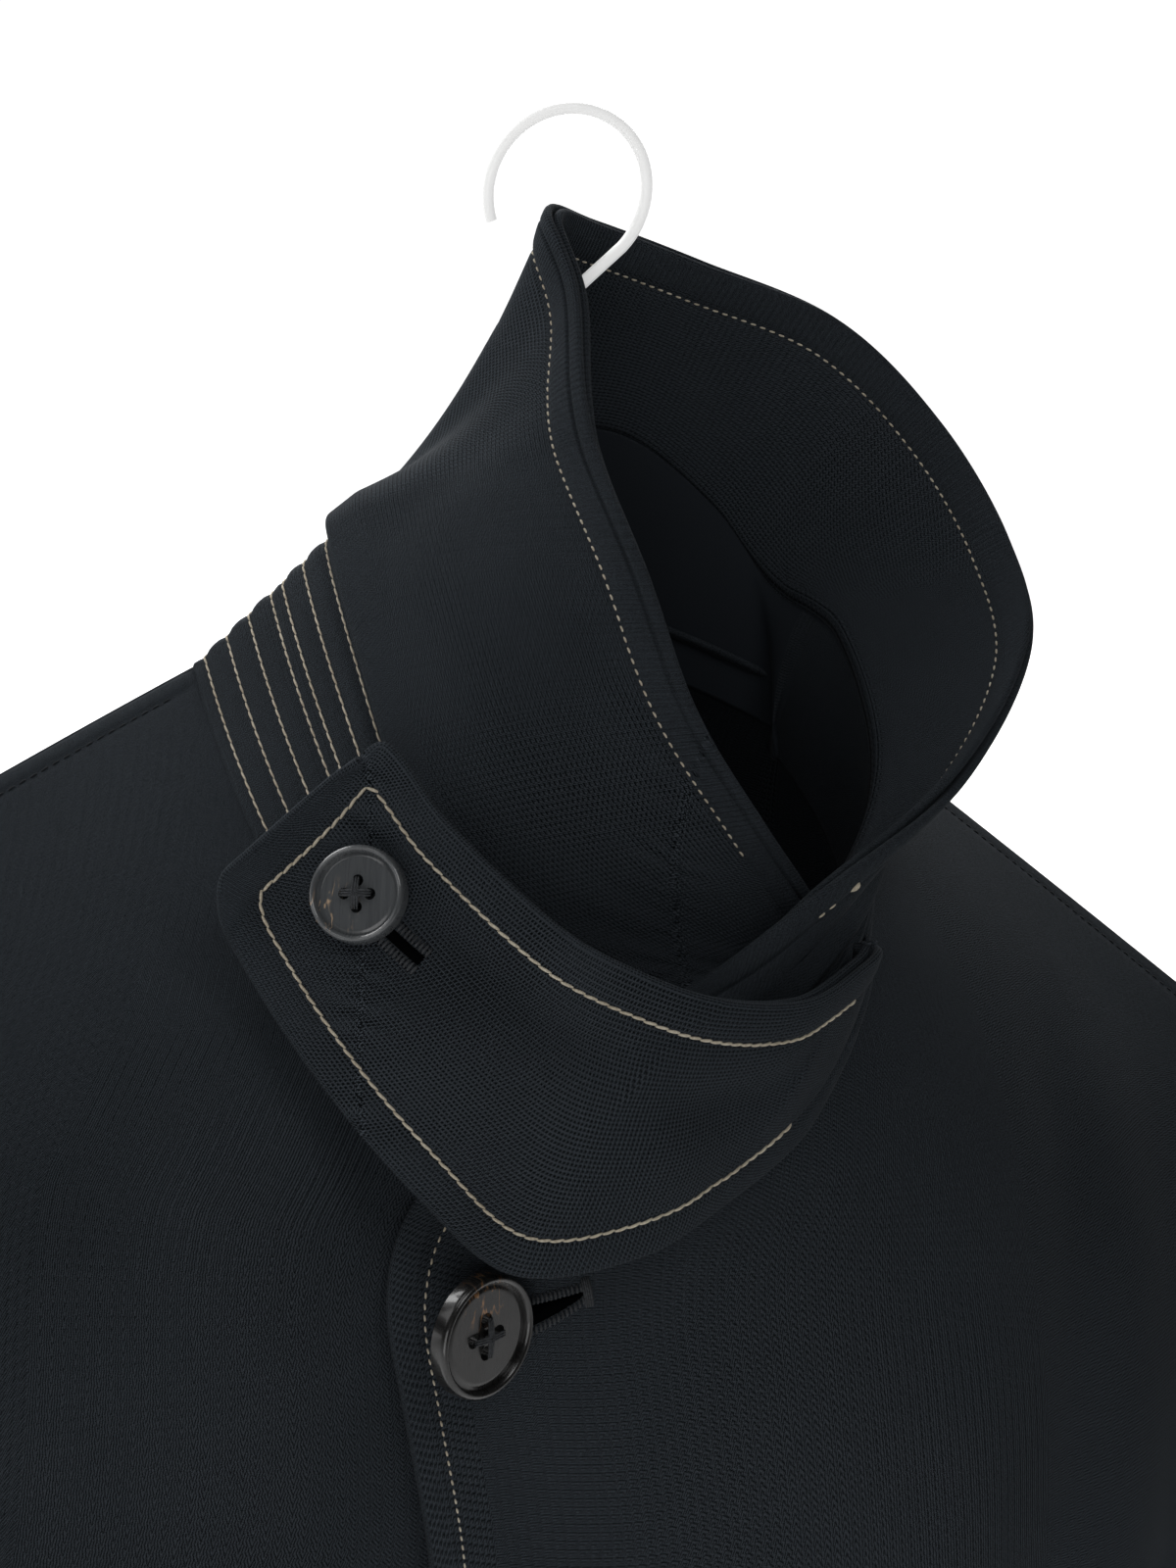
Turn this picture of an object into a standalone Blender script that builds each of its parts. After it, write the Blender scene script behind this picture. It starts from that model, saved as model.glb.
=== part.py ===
"""Wool coat with its collar turned up and held by a throat tab, hung on a wire hanger.

Each cut piece is an object: a grid of points placed by a function of the garment's sizes, then given
its cloth's thickness. Sizes are in millimetres in the garment's frame: 0, 0, 0 lies between the shoulder
seams in the middle of the neck, +X is the viewer's right, -Y the front and +Z up. The part's origin is
the inside of the hook's top, and place() turns a garment point into metres from there.
"""
import bisect
import math
from collections import namedtuple

import bmesh
import bpy
from mathutils import Matrix, Vector

MM = 0.001
SEAM = 0.3

# Neck and shoulders
NECK_HALF = 80
NECK_ROUND = 35
NECK_POINT = -8
FRONT_NECK_DROP = 64
BACK_NECK_RISE = 16
SHOULDER_SLOPE = math.tan(math.radians(33))
SHOULDER_HALF = 215
RIDGE_BACK = 32
RIDGE_SWEEP = 0.1
FRONT_REACH = (45, 60)
BACK_REACH = (28, 55)
REACH_FROM = 60
REACH_OVER = 140

# Body and armholes
HEM = 860
ARMHOLE_SCOOP = 22
SIDE_POWER = 3

# Grids of the cloth pieces: how many cells, and how they crowd towards the shoulder and the side seam
PANEL_ROWS = 20
ARMHOLE_ROWS = 8
SLEEVE_ROWS = 16
FRONT_COLUMNS = 14
BACK_COLUMNS = 24
COLLAR_COLUMNS = 40
STAND_ROWS = 2
LEAF_ROWS = 6
TAB_COLUMNS = 20
TAB_ROWS = 5
FRONT_NECK_SHARE = 0.5
BACK_NECK_SHARE = 0.36
ROW_POWER = 1.6
SIDE_CROWD = 1.7
TOP_BLEND = 0.4
PROBE = 2

# Cloth thicknesses
PANEL_CLOTH = 2.0
STAND_CLOTH = 2.6
LEAF_CLOTH = 3.0
TAB_CLOTH = 3.0

# Front closure
EDGE_PAST_BUTTONS = 18
UNDER_PAST_BUTTONS = 49
UNDER_STEP = 5
UNDER_EASE = 30
BUTTON_COUNT = 4
FIRST_BUTTON = 112
BUTTON_SPACING = 140

# Buttons: rim, sunk face and holes
FRONT_BUTTON = 28.5
TAB_BUTTON = 21.5
BUTTON_THICK = 4.2
BUTTON_SHANK = 1.0
FIRST_BUTTON_TIP = math.radians(29)
TAB_BUTTON_TURN = math.radians(15)
BUTTON_STEPS = 20
BUTTON_HOLES = 4
HOLE_CIRCLE = 0.27
HOLE_RADIUS = 0.12
HOLE_SIDES = 8

# Hanger
WIRE = 3.0
HOOK_RADIUS = 20
HOOK_CENTRE = Vector((-1, 35, 114))
HOOK_TURNS = range(205, -61, -19)
HANGER_HALF = 194
HANGER_HANG = 6
ARM_FOOT = -45
ARM_START = 2
BAR_DROP = 106
BAR_SHORT = 4

HOOK_TOP = HOOK_CENTRE + Vector((0, 0, HOOK_RADIUS - WIRE / 2))

# The wire's bend from the hook into its straight neck, and the corner from an arm into the bar
Bend = namedtuple("Bend", "out down")
HOOK_SWAN = (Bend(4, 24), Bend(1, 29), Bend(0, 35))
BAR_CORNER = (Bend(0.3, 0), Bend(7, 0), Bend(9, 7))

# A button's turned outline from the middle of its face to the middle of its back, in shares of its size
Turned = namedtuple("Turned", "radius height")
BUTTON_OUTLINE = (
    Turned(0.0, 0.66),
    Turned(0.77, 0.66),
    Turned(0.84, 0.96),
    Turned(0.92, 1.0),
    Turned(1.0, 0.7),
    Turned(0.92, 0.14),
    Turned(0.74, 0.0),
    Turned(0.0, 0.0),
)

# Drop is the depth below the neck's middle; front and back are how far the body stands off the hanger.
Section = namedtuple("Section", "drop front back half_width")
BODY = (
    Section(-40, 138, 45, 250),
    Section(80, 138, 46, 246),
    Section(160, 138, 52, 240),
    Section(275, 128, 54, 236),
    Section(450, 112, 44, 246),
    Section(650, 100, 38, 256),
    Section(860, 104, 40, 268),
)

# The button line swings to the viewer's left under the collar, where the tab pulls it.
Closure = namedtuple("Closure", "drop x")
CLOSURE = (
    Closure(60, -18),
    Closure(82, -27),
    Closure(95, -33),
    Closure(110, -34),
    Closure(130, -29),
    Closure(176, -16),
    Closure(240, -5),
    Closure(400, -2),
    Closure(860, 0),
)

# Long soft folds: where each starts, how it drifts, how wide it is and how far it stands out at the hem.
Fold = namedtuple("Fold", "face top_x hem_x start width depth")
FOLDS = (
    Fold("front", -165, -190, 210, 30, 13),
    Fold("front", -95, -105, 330, 34, -11),
    Fold("front", 105, 96, 150, 26, 9),
    Fold("front", 160, 182, 120, 30, 14),
    Fold("back", -150, -172, 260, 36, 12),
    Fold("back", -40, -52, 340, 40, -9),
    Fold("back", 70, 88, 300, 38, 11),
    Fold("back", 165, 190, 280, 30, -8),
)
FOLD_EASE = 1.3

# Sleeve sections from armhole to cuff: the underarm's gap to the body and drop, the outer line, depths.
Sleeve = namedtuple("Sleeve", "along gap inner_drop outer_x outer_drop front back")
SLEEVE = (
    Sleeve(0.00, 5, 276, 217, 92, 56, 32),
    Sleeve(0.10, 7, 300, 262, 114, 58, 36),
    Sleeve(0.25, 8, 350, 308, 190, 62, 44),
    Sleeve(0.40, 8, 410, 334, 300, 64, 50),
    Sleeve(0.60, 9, 510, 345, 460, 61, 51),
    Sleeve(0.80, 11, 612, 351, 590, 57, 51),
    Sleeve(1.00, 13, 700, 355, 694, 52, 50),
)
SLEEVE_BLEND = 0.3
SLEEVE_LENGTH = 620
UNDERARM_GAP = 3 * PANEL_CLOTH
UNDERARM_SLOPE = 0.4
UNDERARM_SHARE = 0.35
UNDERARM_POWER = 4
LEAVE_RUN = 12
SHOULDER_POWER = 8

# Collar stations by angle round the neck from its back: left is negative, and the right end passes the front.
Collar = namedtuple("Collar", "angle stand_x stand_y stand_z rim_x rim_y rim_z belly")
COLLAR = (
    Collar(-192, 20, -80, -46, 60, -60, -42, 0),
    Collar(-175, -4, -80, -38, 46, -65, -24, 0),
    Collar(-150, -30, -72, -22, 32, -65, -8, 3),
    Collar(-125, -44, -50, -4, 13, -59, 17, 6),
    Collar(-105, -48, -14, 20, 3, -43, 43, 5),
    Collar(-90, -47, 17, 34, -3, -12, 66, 1),
    Collar(-60, -36, 36, 30, 1, 22, 92, -2),
    Collar(-30, -19, 48, 40, -2, 40, 107, -1.5),
    Collar(0, 4, 54, 48, 14, 51, 103, 0),
    Collar(25, 30, 51, 49, 44, 53, 95, 2),
    Collar(50, 55, 42, 34, 80, 45, 85, 0),
    Collar(75, 70, 30, 18, 104, 25, 65, -4),
    Collar(95, 77, 4, 14, 113, -4, 45, -3),
    Collar(115, 74, -34, -4, 110, -30, 27, 0),
    Collar(135, 60, -62, -22, 84, -57, 2, 0),
    Collar(155, 36, -82, -38, 46, -76, -19, 0),
    Collar(180, 6, -95, -48, 17, -87, -37, 0),
    Collar(201, -26, -100, -58, -16, -98, -46, 0),
)
LEAF_OVERHANG = 5
LEAF_CLEAR = 3.8
KNEE_CLEAR = 3.0
LEAF_KNEE = 3
BACK_STAND_RISE = 2.0
FRONT_STAND_RISE = 2.8
STAND_SHORT = 2.5
COLLAR_UNDER = 5
UNDER_END_FROM = 120
FRONT_FROM = 80
TURN_OVER = 40
COLLAR_LEAN = 0.3

# Throat tab from its buttoned left end to the end caught under the right leaf: upper and lower edges.
Tab = namedtuple("Tab", "along upper_x upper_y upper_z lower_x lower_y lower_z")
TAB = (
    Tab(0.00, -63, -60, 4, -91, -58, -28),
    Tab(0.04, -58, -61, 7, -88, -64, -36),
    Tab(0.20, -47, -76, -5, -72, -88, -57),
    Tab(0.42, -26, -97, -20, -50, -108, -78),
    Tab(0.56, -12, -104, -26, -29, -114, -93),
    Tab(0.70, 10, -106, -33, -2, -116, -88),
    Tab(0.82, 35, -98, -37, 19, -108, -80),
    Tab(0.91, 52, -87, -34, 39, -98, -70),
    Tab(0.97, 60, -79, -31, 51, -88, -58),
    Tab(1.00, 59, -74, -24, 60, -79, -47),
)
TAB_BELLY = 4
TAB_BUTTON_PLACE = (0.14, 0.44)

# Colours, roughness and metallic value of each material
CLOTH = ((0.011, 0.014, 0.017), 0.95, 0.0)
HORN = ((0.050, 0.048, 0.045), 0.35, 0.0)
ENAMEL = ((0.80, 0.80, 0.79), 0.40, 0.0)


def read(rows, column, at):
    """Value of a table's column at a place along its first column, on a smooth curve through the rows."""
    places = [row[0] for row in rows]
    values = [getattr(row, column) for row in rows]
    last = len(rows) - 1
    at = min(max(at, places[0]), places[last])
    i = min(max(bisect.bisect_right(places, at) - 1, 0), last - 1)

    def slope(k):
        before, after = max(k - 1, 0), min(k + 1, last)
        return (values[after] - values[before]) / (places[after] - places[before])

    span = places[i + 1] - places[i]
    t = (at - places[i]) / span
    start = (2 * t**3 - 3 * t**2 + 1) * values[i] + (t**3 - 2 * t**2 + t) * span * slope(i)
    return start + (3 * t**2 - 2 * t**3) * values[i + 1] + (t**3 - t**2) * span * slope(i + 1)


def ease(t):
    """Smooth step from 0 to 1."""
    t = min(max(t, 0.0), 1.0)
    return t * t * (3 - 2 * t)


def mix(a, b, t):
    return a + (b - a) * t


def place(point):
    """Garment point in millimetres to metres from the hook."""
    return (point - HOOK_TOP) * MM


def shoulder_line(x):
    """Height of the shoulder seam, rounded over the neck."""
    run = math.hypot(x, NECK_ROUND) - math.hypot(NECK_HALF, NECK_ROUND)
    return NECK_POINT - SHOULDER_SLOPE * run


def row_height(top, v):
    """Height of a panel's row: rows lie closer together near the shoulder."""
    return mix(top, -HEM, v**ROW_POWER)


SHOULDER_TIP = shoulder_line(SHOULDER_HALF)
UNDERARM = row_height(SHOULDER_TIP, ARMHOLE_ROWS / PANEL_ROWS)


def ridge(x):
    """How far back the shoulder seam lies: the hanger's arms sweep a little forward."""
    return RIDGE_BACK - RIDGE_SWEEP * math.hypot(x, NECK_ROUND)


def fold_depth(face, x, drop):
    """Sum of the soft folds at a point of the front or back."""
    total = 0.0
    for fold in FOLDS:
        if fold.face == face and drop > fold.start:
            down = (drop - fold.start) / (HEM - fold.start)
            centre = mix(fold.top_x, fold.hem_x, down)
            total += fold.depth * ease(down * FOLD_EASE) * math.exp(-(((x - centre) / fold.width) ** 2))
    return total


def stand_off(face, x, z):
    """Distance of the front or back panel from the shoulder ridge's plane."""
    below = max(shoulder_line(x) - z, 0.0)
    near, far = FRONT_REACH if face == "front" else BACK_REACH
    reach = mix(near, far, ease((abs(x) - REACH_FROM) / REACH_OVER))
    side = max(1 - (abs(x) / read(BODY, "half_width", -z)) ** SIDE_POWER, 0.0) ** 0.5
    return (read(BODY, face, -z) + fold_depth(face, x, -z)) * side * (1 - math.exp(-below / reach)) + SEAM


def on_front(x, z):
    return Vector((x, ridge(x) - stand_off("front", x, z), z))


def on_back(x, z):
    return Vector((x, ridge(x) + stand_off("back", x, z), z))


def armhole_x(z):
    """Half width of the body panels: the armhole's scoop above the underarm, then the side seam."""
    if z >= SHOULDER_TIP:
        return SHOULDER_HALF
    if z <= UNDERARM:
        return read(BODY, "half_width", -z)
    t = (SHOULDER_TIP - z) / (SHOULDER_TIP - UNDERARM)
    line = mix(SHOULDER_HALF, read(BODY, "half_width", -UNDERARM), t)
    return line - ARMHOLE_SCOOP * math.sin(math.pi * t)


def neck_height(angle):
    """Height of the neckline at an angle from the back of the neck."""
    turn = math.cos(math.radians(angle))
    return NECK_POINT + (BACK_NECK_RISE * turn**2 if turn > 0 else FRONT_NECK_DROP * turn)


def neck_x(angle):
    return NECK_HALF * math.sin(math.radians(angle))


def step_under(point):
    """Under front: stepped in behind the over front along the closure."""
    edge = read(CLOSURE, "x", -point.z) - EDGE_PAST_BUTTONS
    point.y += UNDER_STEP * ease((point.x - edge + UNDER_EASE) / UNDER_EASE)
    return point


def front_edge(side, z):
    """Front edge of a front panel, measured from the middle towards its own side."""
    line = read(CLOSURE, "x", -z)
    return line - EDGE_PAST_BUTTONS if side > 0 else -(line + UNDER_PAST_BUTTONS)


def panel_top(u, neck_angle, neck_share):
    """Neckline from an angle round the neck, then the shoulder seam, as a half width and a height."""
    if u < neck_share:
        angle = mix(neck_angle, 90, u / neck_share)
        return neck_x(angle), neck_height(angle)
    x = mix(NECK_HALF, SHOULDER_HALF, (u - neck_share) / (1 - neck_share))
    return x, shoulder_line(x)


def spread(u, v, top_share):
    """Share of a panel's width: as along its top edge, then crowding towards the side."""
    return mix(top_share, 1 - (1 - u) ** SIDE_CROWD, ease(v / TOP_BLEND))


def front_panel(side):
    """Point function of a front panel: u from front edge to side, v from neckline and shoulder to hem."""
    top_edge = front_edge(side, -FRONT_NECK_DROP)
    neck_angle = 180 - math.degrees(math.asin(top_edge / NECK_HALF))

    def point(u, v):
        top_x, top_z = panel_top(u, neck_angle, FRONT_NECK_SHARE)
        z = row_height(top_z, v)
        edge, outer = front_edge(side, z), armhole_x(z)
        top_share = (top_x - front_edge(side, top_z)) / (armhole_x(top_z) - front_edge(side, top_z))
        result = on_front(side * mix(edge, outer, spread(u, v, top_share)), z)
        return result if side > 0 else step_under(result)

    return point


def back_panel(u, v):
    """Back: u from the viewer's left side to the right, v from neck and shoulders to hem."""
    across = 2 * u - 1
    side = math.copysign(1, across)
    span = abs(across)
    top_x, top_z = panel_top(span, 0, BACK_NECK_SHARE)
    z = row_height(top_z, v)
    return on_back(side * armhole_x(z) * spread(span, v, top_x / armhole_x(top_z)), z)


def sleeve_head(side, turn, out):
    """Point out from the armhole's edge: on in the panel's own direction there, then straight outwards.

    Turn is 0 at the shoulder, 0.25 at the front, 0.5 under the arm and 0.75 at the back.
    """
    down = 2 * min(turn, 1 - turn)
    z = row_height(SHOULDER_TIP, down * ARMHOLE_ROWS / PANEL_ROWS)
    x = side * armhole_x(z)
    face, away = ("front", -1) if turn < 0.5 else ("back", 1)
    edge = Vector((x, ridge(x) + away * (stand_off(face, x, z) - SEAM), z))
    inside_x = x - side * PROBE
    inside = Vector((inside_x, ridge(inside_x) + away * (stand_off(face, inside_x, z) - SEAM), z))
    leave = (edge - inside).normalized()
    leave = leave.lerp(Vector((side, 0, -SHOULDER_SLOPE)), (1 - down) ** SHOULDER_POWER)
    leave = leave.lerp(Vector((side, 0, -UNDERARM_SLOPE)), down**UNDERARM_POWER).normalized()
    out *= mix(1, UNDERARM_SHARE, down**UNDERARM_POWER)
    run = LEAVE_RUN * (1 - math.exp(-out / LEAVE_RUN))
    outward = Vector((side, 0, -mix(SHOULDER_SLOPE, UNDERARM_SLOPE, down))).normalized()
    return edge + leave * (SEAM + run + UNDERARM_GAP * down**UNDERARM_POWER) + outward * (out - run)


def sleeve(side):
    """Point function of a sleeve: u round it from the shoulder towards the front, v down to the cuff."""

    def point(u, v):
        round_by = 2 * math.pi * u
        inner_z = -read(SLEEVE, "inner_drop", v)
        inner = Vector((read(BODY, "half_width", -inner_z) + read(SLEEVE, "gap", v), 0, inner_z))
        outer = Vector((read(SLEEVE, "outer_x", v), 0, -read(SLEEVE, "outer_drop", v)))
        reach = read(SLEEVE, "front" if u < 0.5 else "back", v)
        section = (inner + outer) / 2 + (outer - inner) / 2 * math.cos(round_by)
        section.y = ridge(SHOULDER_HALF) - reach * math.sin(round_by)
        section.x *= side
        head = sleeve_head(side, u, v * SLEEVE_LENGTH)
        return head.lerp(section, ease(v / SLEEVE_BLEND))

    return point


def neck_seam(angle):
    """Where the stand sits on the neckline: on the panels' middle, the under end inside the over end."""
    x, z = neck_x(angle), neck_height(angle)
    back = math.cos(math.radians(angle)) > 0
    point = on_back(x, z) if back else on_front(x, z)
    away = Vector((math.sin(math.radians(angle)), math.cos(math.radians(angle)), 0))
    inside = COLLAR_UNDER * ease((-angle - UNDER_END_FROM) / TURN_OVER)
    return point + away * (PANEL_CLOTH / 2 - inside)


def stand_top(angle):
    return Vector(read(COLLAR, name, angle) for name in ("stand_x", "stand_y", "stand_z"))


def rim(angle):
    return Vector(read(COLLAR, name, angle) for name in ("rim_x", "rim_y", "rim_z"))


def collar_out(angle):
    """Outward direction, square to the stand, at the stand's top."""
    along = stand_top(angle + 1) - stand_top(angle - 1)
    normal = along.cross(stand_top(angle) - neck_seam(angle)).normalized()
    outward = Vector((math.sin(math.radians(angle)), math.cos(math.radians(angle)), COLLAR_LEAN))
    return normal if normal.dot(outward) > 0 else -normal


def collar_angle(u):
    return mix(COLLAR[0].angle, COLLAR[-1].angle, u)


def collar_stand(u, v):
    angle = collar_angle(u)
    seam, top = neck_seam(angle), stand_top(angle)
    height = (top - seam).length
    rise = mix(BACK_STAND_RISE, FRONT_STAND_RISE, ease((abs(angle) - FRONT_FROM) / TURN_OVER))
    return seam.lerp(top, mix(rise / height, 1 - STAND_SHORT / height, v))


def collar_leaf(u, v):
    """Leaf: a row outside the stand's top, a knee over that top, then up to the rim."""
    angle = collar_angle(u)
    seam, top, edge = neck_seam(angle), stand_top(angle), rim(angle)
    out = collar_out(angle)
    up = (top - seam).normalized()
    base = top - up * LEAF_OVERHANG + out * LEAF_CLEAR
    knee = top + up * LEAF_KNEE + out * KNEE_CLEAR
    first = 1 / LEAF_ROWS
    if v <= first:
        return base.lerp(knee, v / first)
    rise = (v - first) / (1 - first)
    return knee.lerp(edge, rise) + out * read(COLLAR, "belly", angle) * math.sin(math.pi * rise)


def throat_tab(u, v):
    upper = Vector(read(TAB, name, u) for name in ("upper_x", "upper_y", "upper_z"))
    lower = Vector(read(TAB, name, u) for name in ("lower_x", "lower_y", "lower_z"))
    point = upper.lerp(lower, v)
    point.y -= TAB_BELLY * math.sin(math.pi * v) * math.sin(math.pi * u)
    return point


def finish(name, colour, roughness, metallic):
    """One Principled material."""
    material = bpy.data.materials.new(name)
    material.use_nodes = True
    shader = material.node_tree.nodes["Principled BSDF"]
    shader.inputs["Base Color"].default_value = (*colour, 1)
    shader.inputs["Roughness"].default_value = roughness
    shader.inputs["Metallic"].default_value = metallic
    return material


def add(name, data, look, collection):
    """Link new data to the scene as a named object with its own material."""
    item = bpy.data.objects.new(name, data)
    data.materials.append(finish(name + "_finish", *look))
    collection.objects.link(item)
    return item


def sheet(name, point, columns, rows, thickness, grow, collection, flip=False, tube=False):
    """Cloth piece: a grid moved to its place by a point function, then thickened."""
    shape = bmesh.new()
    bmesh.ops.create_grid(shape, x_segments=columns, y_segments=rows, size=0.5)
    for vertex in shape.verts:
        u, v = vertex.co.x + 0.5, vertex.co.y + 0.5
        vertex.co = place(point(u, v))
    if tube:
        bmesh.ops.remove_doubles(shape, verts=shape.verts, dist=MM / 100)
    if flip:
        bmesh.ops.reverse_faces(shape, faces=shape.faces)
    mesh = bpy.data.meshes.new(name)
    shape.to_mesh(mesh)
    shape.free()
    mesh.shade_smooth()
    item = add(name, mesh, CLOTH, collection)
    wall = item.modifiers.new("cloth", "SOLIDIFY")
    wall.thickness = thickness * MM
    wall.offset = grow
    return item


def button(name, diameter, centre, normal, collection, cutters, spin=0.0):
    """Turned button with a raised rim, a sunk face and four holes, spun about its own axis."""
    radius, thick = diameter / 2 * MM, BUTTON_THICK * MM
    mesh = bpy.data.meshes.new(name)
    points = [(radius * step.radius, 0, thick * step.height) for step in BUTTON_OUTLINE]
    mesh.from_pydata(points, [(i, i + 1) for i in range(len(points) - 1)], [])
    item = add(name, mesh, HORN, collection)
    turn = item.modifiers.new("turn", "SCREW")
    turn.steps = turn.render_steps = BUTTON_STEPS
    turn.use_merge_vertices = True
    turn.merge_threshold = MM / 100
    facing = normal.to_track_quat("Z", "Y").to_matrix().to_4x4()
    frame = Matrix.Translation(place(centre)) @ facing @ Matrix.Rotation(spin, 4, "Z")
    item.matrix_world = frame

    holes = bmesh.new()
    for i in range(BUTTON_HOLES):
        around = Matrix.Rotation(2 * math.pi * i / BUTTON_HOLES, 4, "Z")
        at = around @ Matrix.Translation((radius * HOLE_CIRCLE, 0, thick / 2))
        bmesh.ops.create_cone(
            holes,
            cap_ends=True,
            segments=HOLE_SIDES,
            radius1=radius * HOLE_RADIUS,
            radius2=radius * HOLE_RADIUS,
            depth=thick * 2,
            matrix=at,
        )
    cutter_mesh = bpy.data.meshes.new(name + "_holes")
    holes.to_mesh(cutter_mesh)
    holes.free()
    cutter = bpy.data.objects.new(name + "_holes", cutter_mesh)
    cutter.matrix_world = frame
    cutter.hide_render = True
    cutter.display_type = "WIRE"
    cutters.objects.link(cutter)
    cut = item.modifiers.new("holes", "BOOLEAN")
    cut.object = cutter
    return item


def front_button(index, collection, cutters):
    """Button on the closure line; the first one tips as it hangs on its thread."""
    drop = FIRST_BUTTON + BUTTON_SPACING * index
    x = read(CLOSURE, "x", drop)
    centre = on_front(x, -drop)
    across = on_front(x + PROBE, -drop) - on_front(x - PROBE, -drop)
    down = on_front(x, -drop - PROBE) - on_front(x, -drop + PROBE)
    normal = down.cross(across).normalized()
    tip = FIRST_BUTTON_TIP if index == 0 else 0
    lift = PANEL_CLOTH + SEAM + BUTTON_SHANK + FRONT_BUTTON / 2 * math.sin(tip)
    facing = Matrix.Rotation(tip, 3, "Z") @ normal
    name = f"button_front_{index + 1}"
    return button(name, FRONT_BUTTON, centre + normal * lift, facing, collection, cutters)


def tab_button(collection, cutters):
    u, v = TAB_BUTTON_PLACE
    centre = throat_tab(u, v)
    cell_u, cell_v = 0.5 / TAB_COLUMNS, 0.5 / TAB_ROWS
    along = throat_tab(u + cell_u, v) - throat_tab(u - cell_u, v)
    down = throat_tab(u, v + cell_v) - throat_tab(u, v - cell_v)
    normal = down.cross(along).normalized()
    lift = normal * (TAB_CLOTH / 2 + SEAM + BUTTON_SHANK)
    return button("button_tab", TAB_BUTTON, centre + lift, normal, collection, cutters, TAB_BUTTON_TURN)


def arm_point(side, along):
    """Point on a hanger arm, from its foot beside the neck to its tip under the shoulder."""
    tip = Vector((side * HANGER_HALF, ridge(HANGER_HALF), shoulder_line(HANGER_HALF) - HANGER_HANG))
    foot = Vector((HOOK_CENTRE.x + side * ARM_START, HOOK_CENTRE.y, ARM_FOOT))
    return foot.lerp(tip, along)


def hook_path():
    """Wire from the hook's tip over its round and down the straight neck."""
    path = []
    for degrees in HOOK_TURNS:
        turn = math.radians(degrees)
        path.append(HOOK_CENTRE + HOOK_RADIUS * Vector((math.cos(turn), 0, math.sin(turn))))
    for bend in HOOK_SWAN:
        path.append(HOOK_CENTRE + Vector((bend.out, 0, -bend.down)))
    path.append(Vector((HOOK_CENTRE.x, HOOK_CENTRE.y, ARM_FOOT + WIRE)))
    return path


def bar_path():
    """Wire from one arm's tip round its corner, along the bar and up to the other arm's tip."""
    tip = arm_point(1, 1)
    outward = (tip - arm_point(1, 0)).normalized()
    half = [tip + outward * bend.out - Vector((0, 0, bend.down)) for bend in BAR_CORNER]
    half.append(Vector((tip.x - BAR_SHORT, tip.y, -BAR_DROP)))
    return [Vector((-point.x, point.y, point.z)) for point in half] + half[::-1]


def wire(name, path, collection):
    """Round wire through the points of a path."""
    curve = bpy.data.curves.new(name, "CURVE")
    curve.dimensions = "3D"
    curve.bevel_depth = WIRE / 2 * MM
    curve.bevel_resolution = 2
    curve.use_fill_caps = True
    line = curve.splines.new("POLY")
    line.points.add(len(path) - 1)
    for knot, point in zip(line.points, path):
        knot.co = (*place(point), 1)
    return add(name, curve, ENAMEL, collection)


def hanger(collection):
    wire("hanger_hook", hook_path(), collection)
    wire("hanger_bar", bar_path(), collection)
    for name, side in (("hanger_arm_left", 1), ("hanger_arm_right", -1)):
        wire(name, [arm_point(side, 0), arm_point(side, 1)], collection)


def clear_scene():
    for item in list(bpy.data.objects):
        bpy.data.objects.remove(item, do_unlink=True)


def new_collection(name):
    collection = bpy.data.collections.new(name)
    bpy.context.scene.collection.children.link(collection)
    return collection


def main():
    clear_scene()
    coat = new_collection("wool_coat")
    cutters = new_collection("cutters")
    sheet("front_left", front_panel(1), FRONT_COLUMNS, PANEL_ROWS, PANEL_CLOTH, 1, coat, flip=True)
    sheet("front_right", front_panel(-1), FRONT_COLUMNS, PANEL_ROWS, PANEL_CLOTH, 1, coat)
    sheet("back", back_panel, BACK_COLUMNS, PANEL_ROWS, PANEL_CLOTH, 1, coat)
    round_cells = 2 * ARMHOLE_ROWS
    sheet("sleeve_left", sleeve(1), round_cells, SLEEVE_ROWS, PANEL_CLOTH, 1, coat, tube=True)
    sheet("sleeve_right", sleeve(-1), round_cells, SLEEVE_ROWS, PANEL_CLOTH, 1, coat, flip=True, tube=True)
    sheet("collar_stand", collar_stand, COLLAR_COLUMNS, STAND_ROWS, STAND_CLOTH, 0, coat, flip=True)
    sheet("collar_leaf", collar_leaf, COLLAR_COLUMNS, LEAF_ROWS, LEAF_CLOTH, 0, coat, flip=True)
    sheet("throat_tab", throat_tab, TAB_COLUMNS, TAB_ROWS, TAB_CLOTH, 0, coat, flip=True)
    tab_button(coat, cutters)
    for index in range(BUTTON_COUNT):
        front_button(index, coat, cutters)
    hanger(coat)


if __name__ == "__main__":
    main()
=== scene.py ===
"""Looks of a dark wool coat with its collar turned up and held by a throat tab, hung on a wire hanger.

Each cloth piece is a thin shell on the form of its solid, with its creases, its rounded edges and its
stitching. Sizes are in millimetres in the garment's frame: 0, 0, 0 lies between the shoulder seams in the
middle of the neck, +X is the viewer's right, -Y the front and +Z up. The frame's origin is the inside of
the hook's top, and metres() turns garment points into metres from there.
"""
import math
from collections import namedtuple

import bmesh
import bpy
import numpy as np
from mathutils import Matrix, Vector


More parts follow.
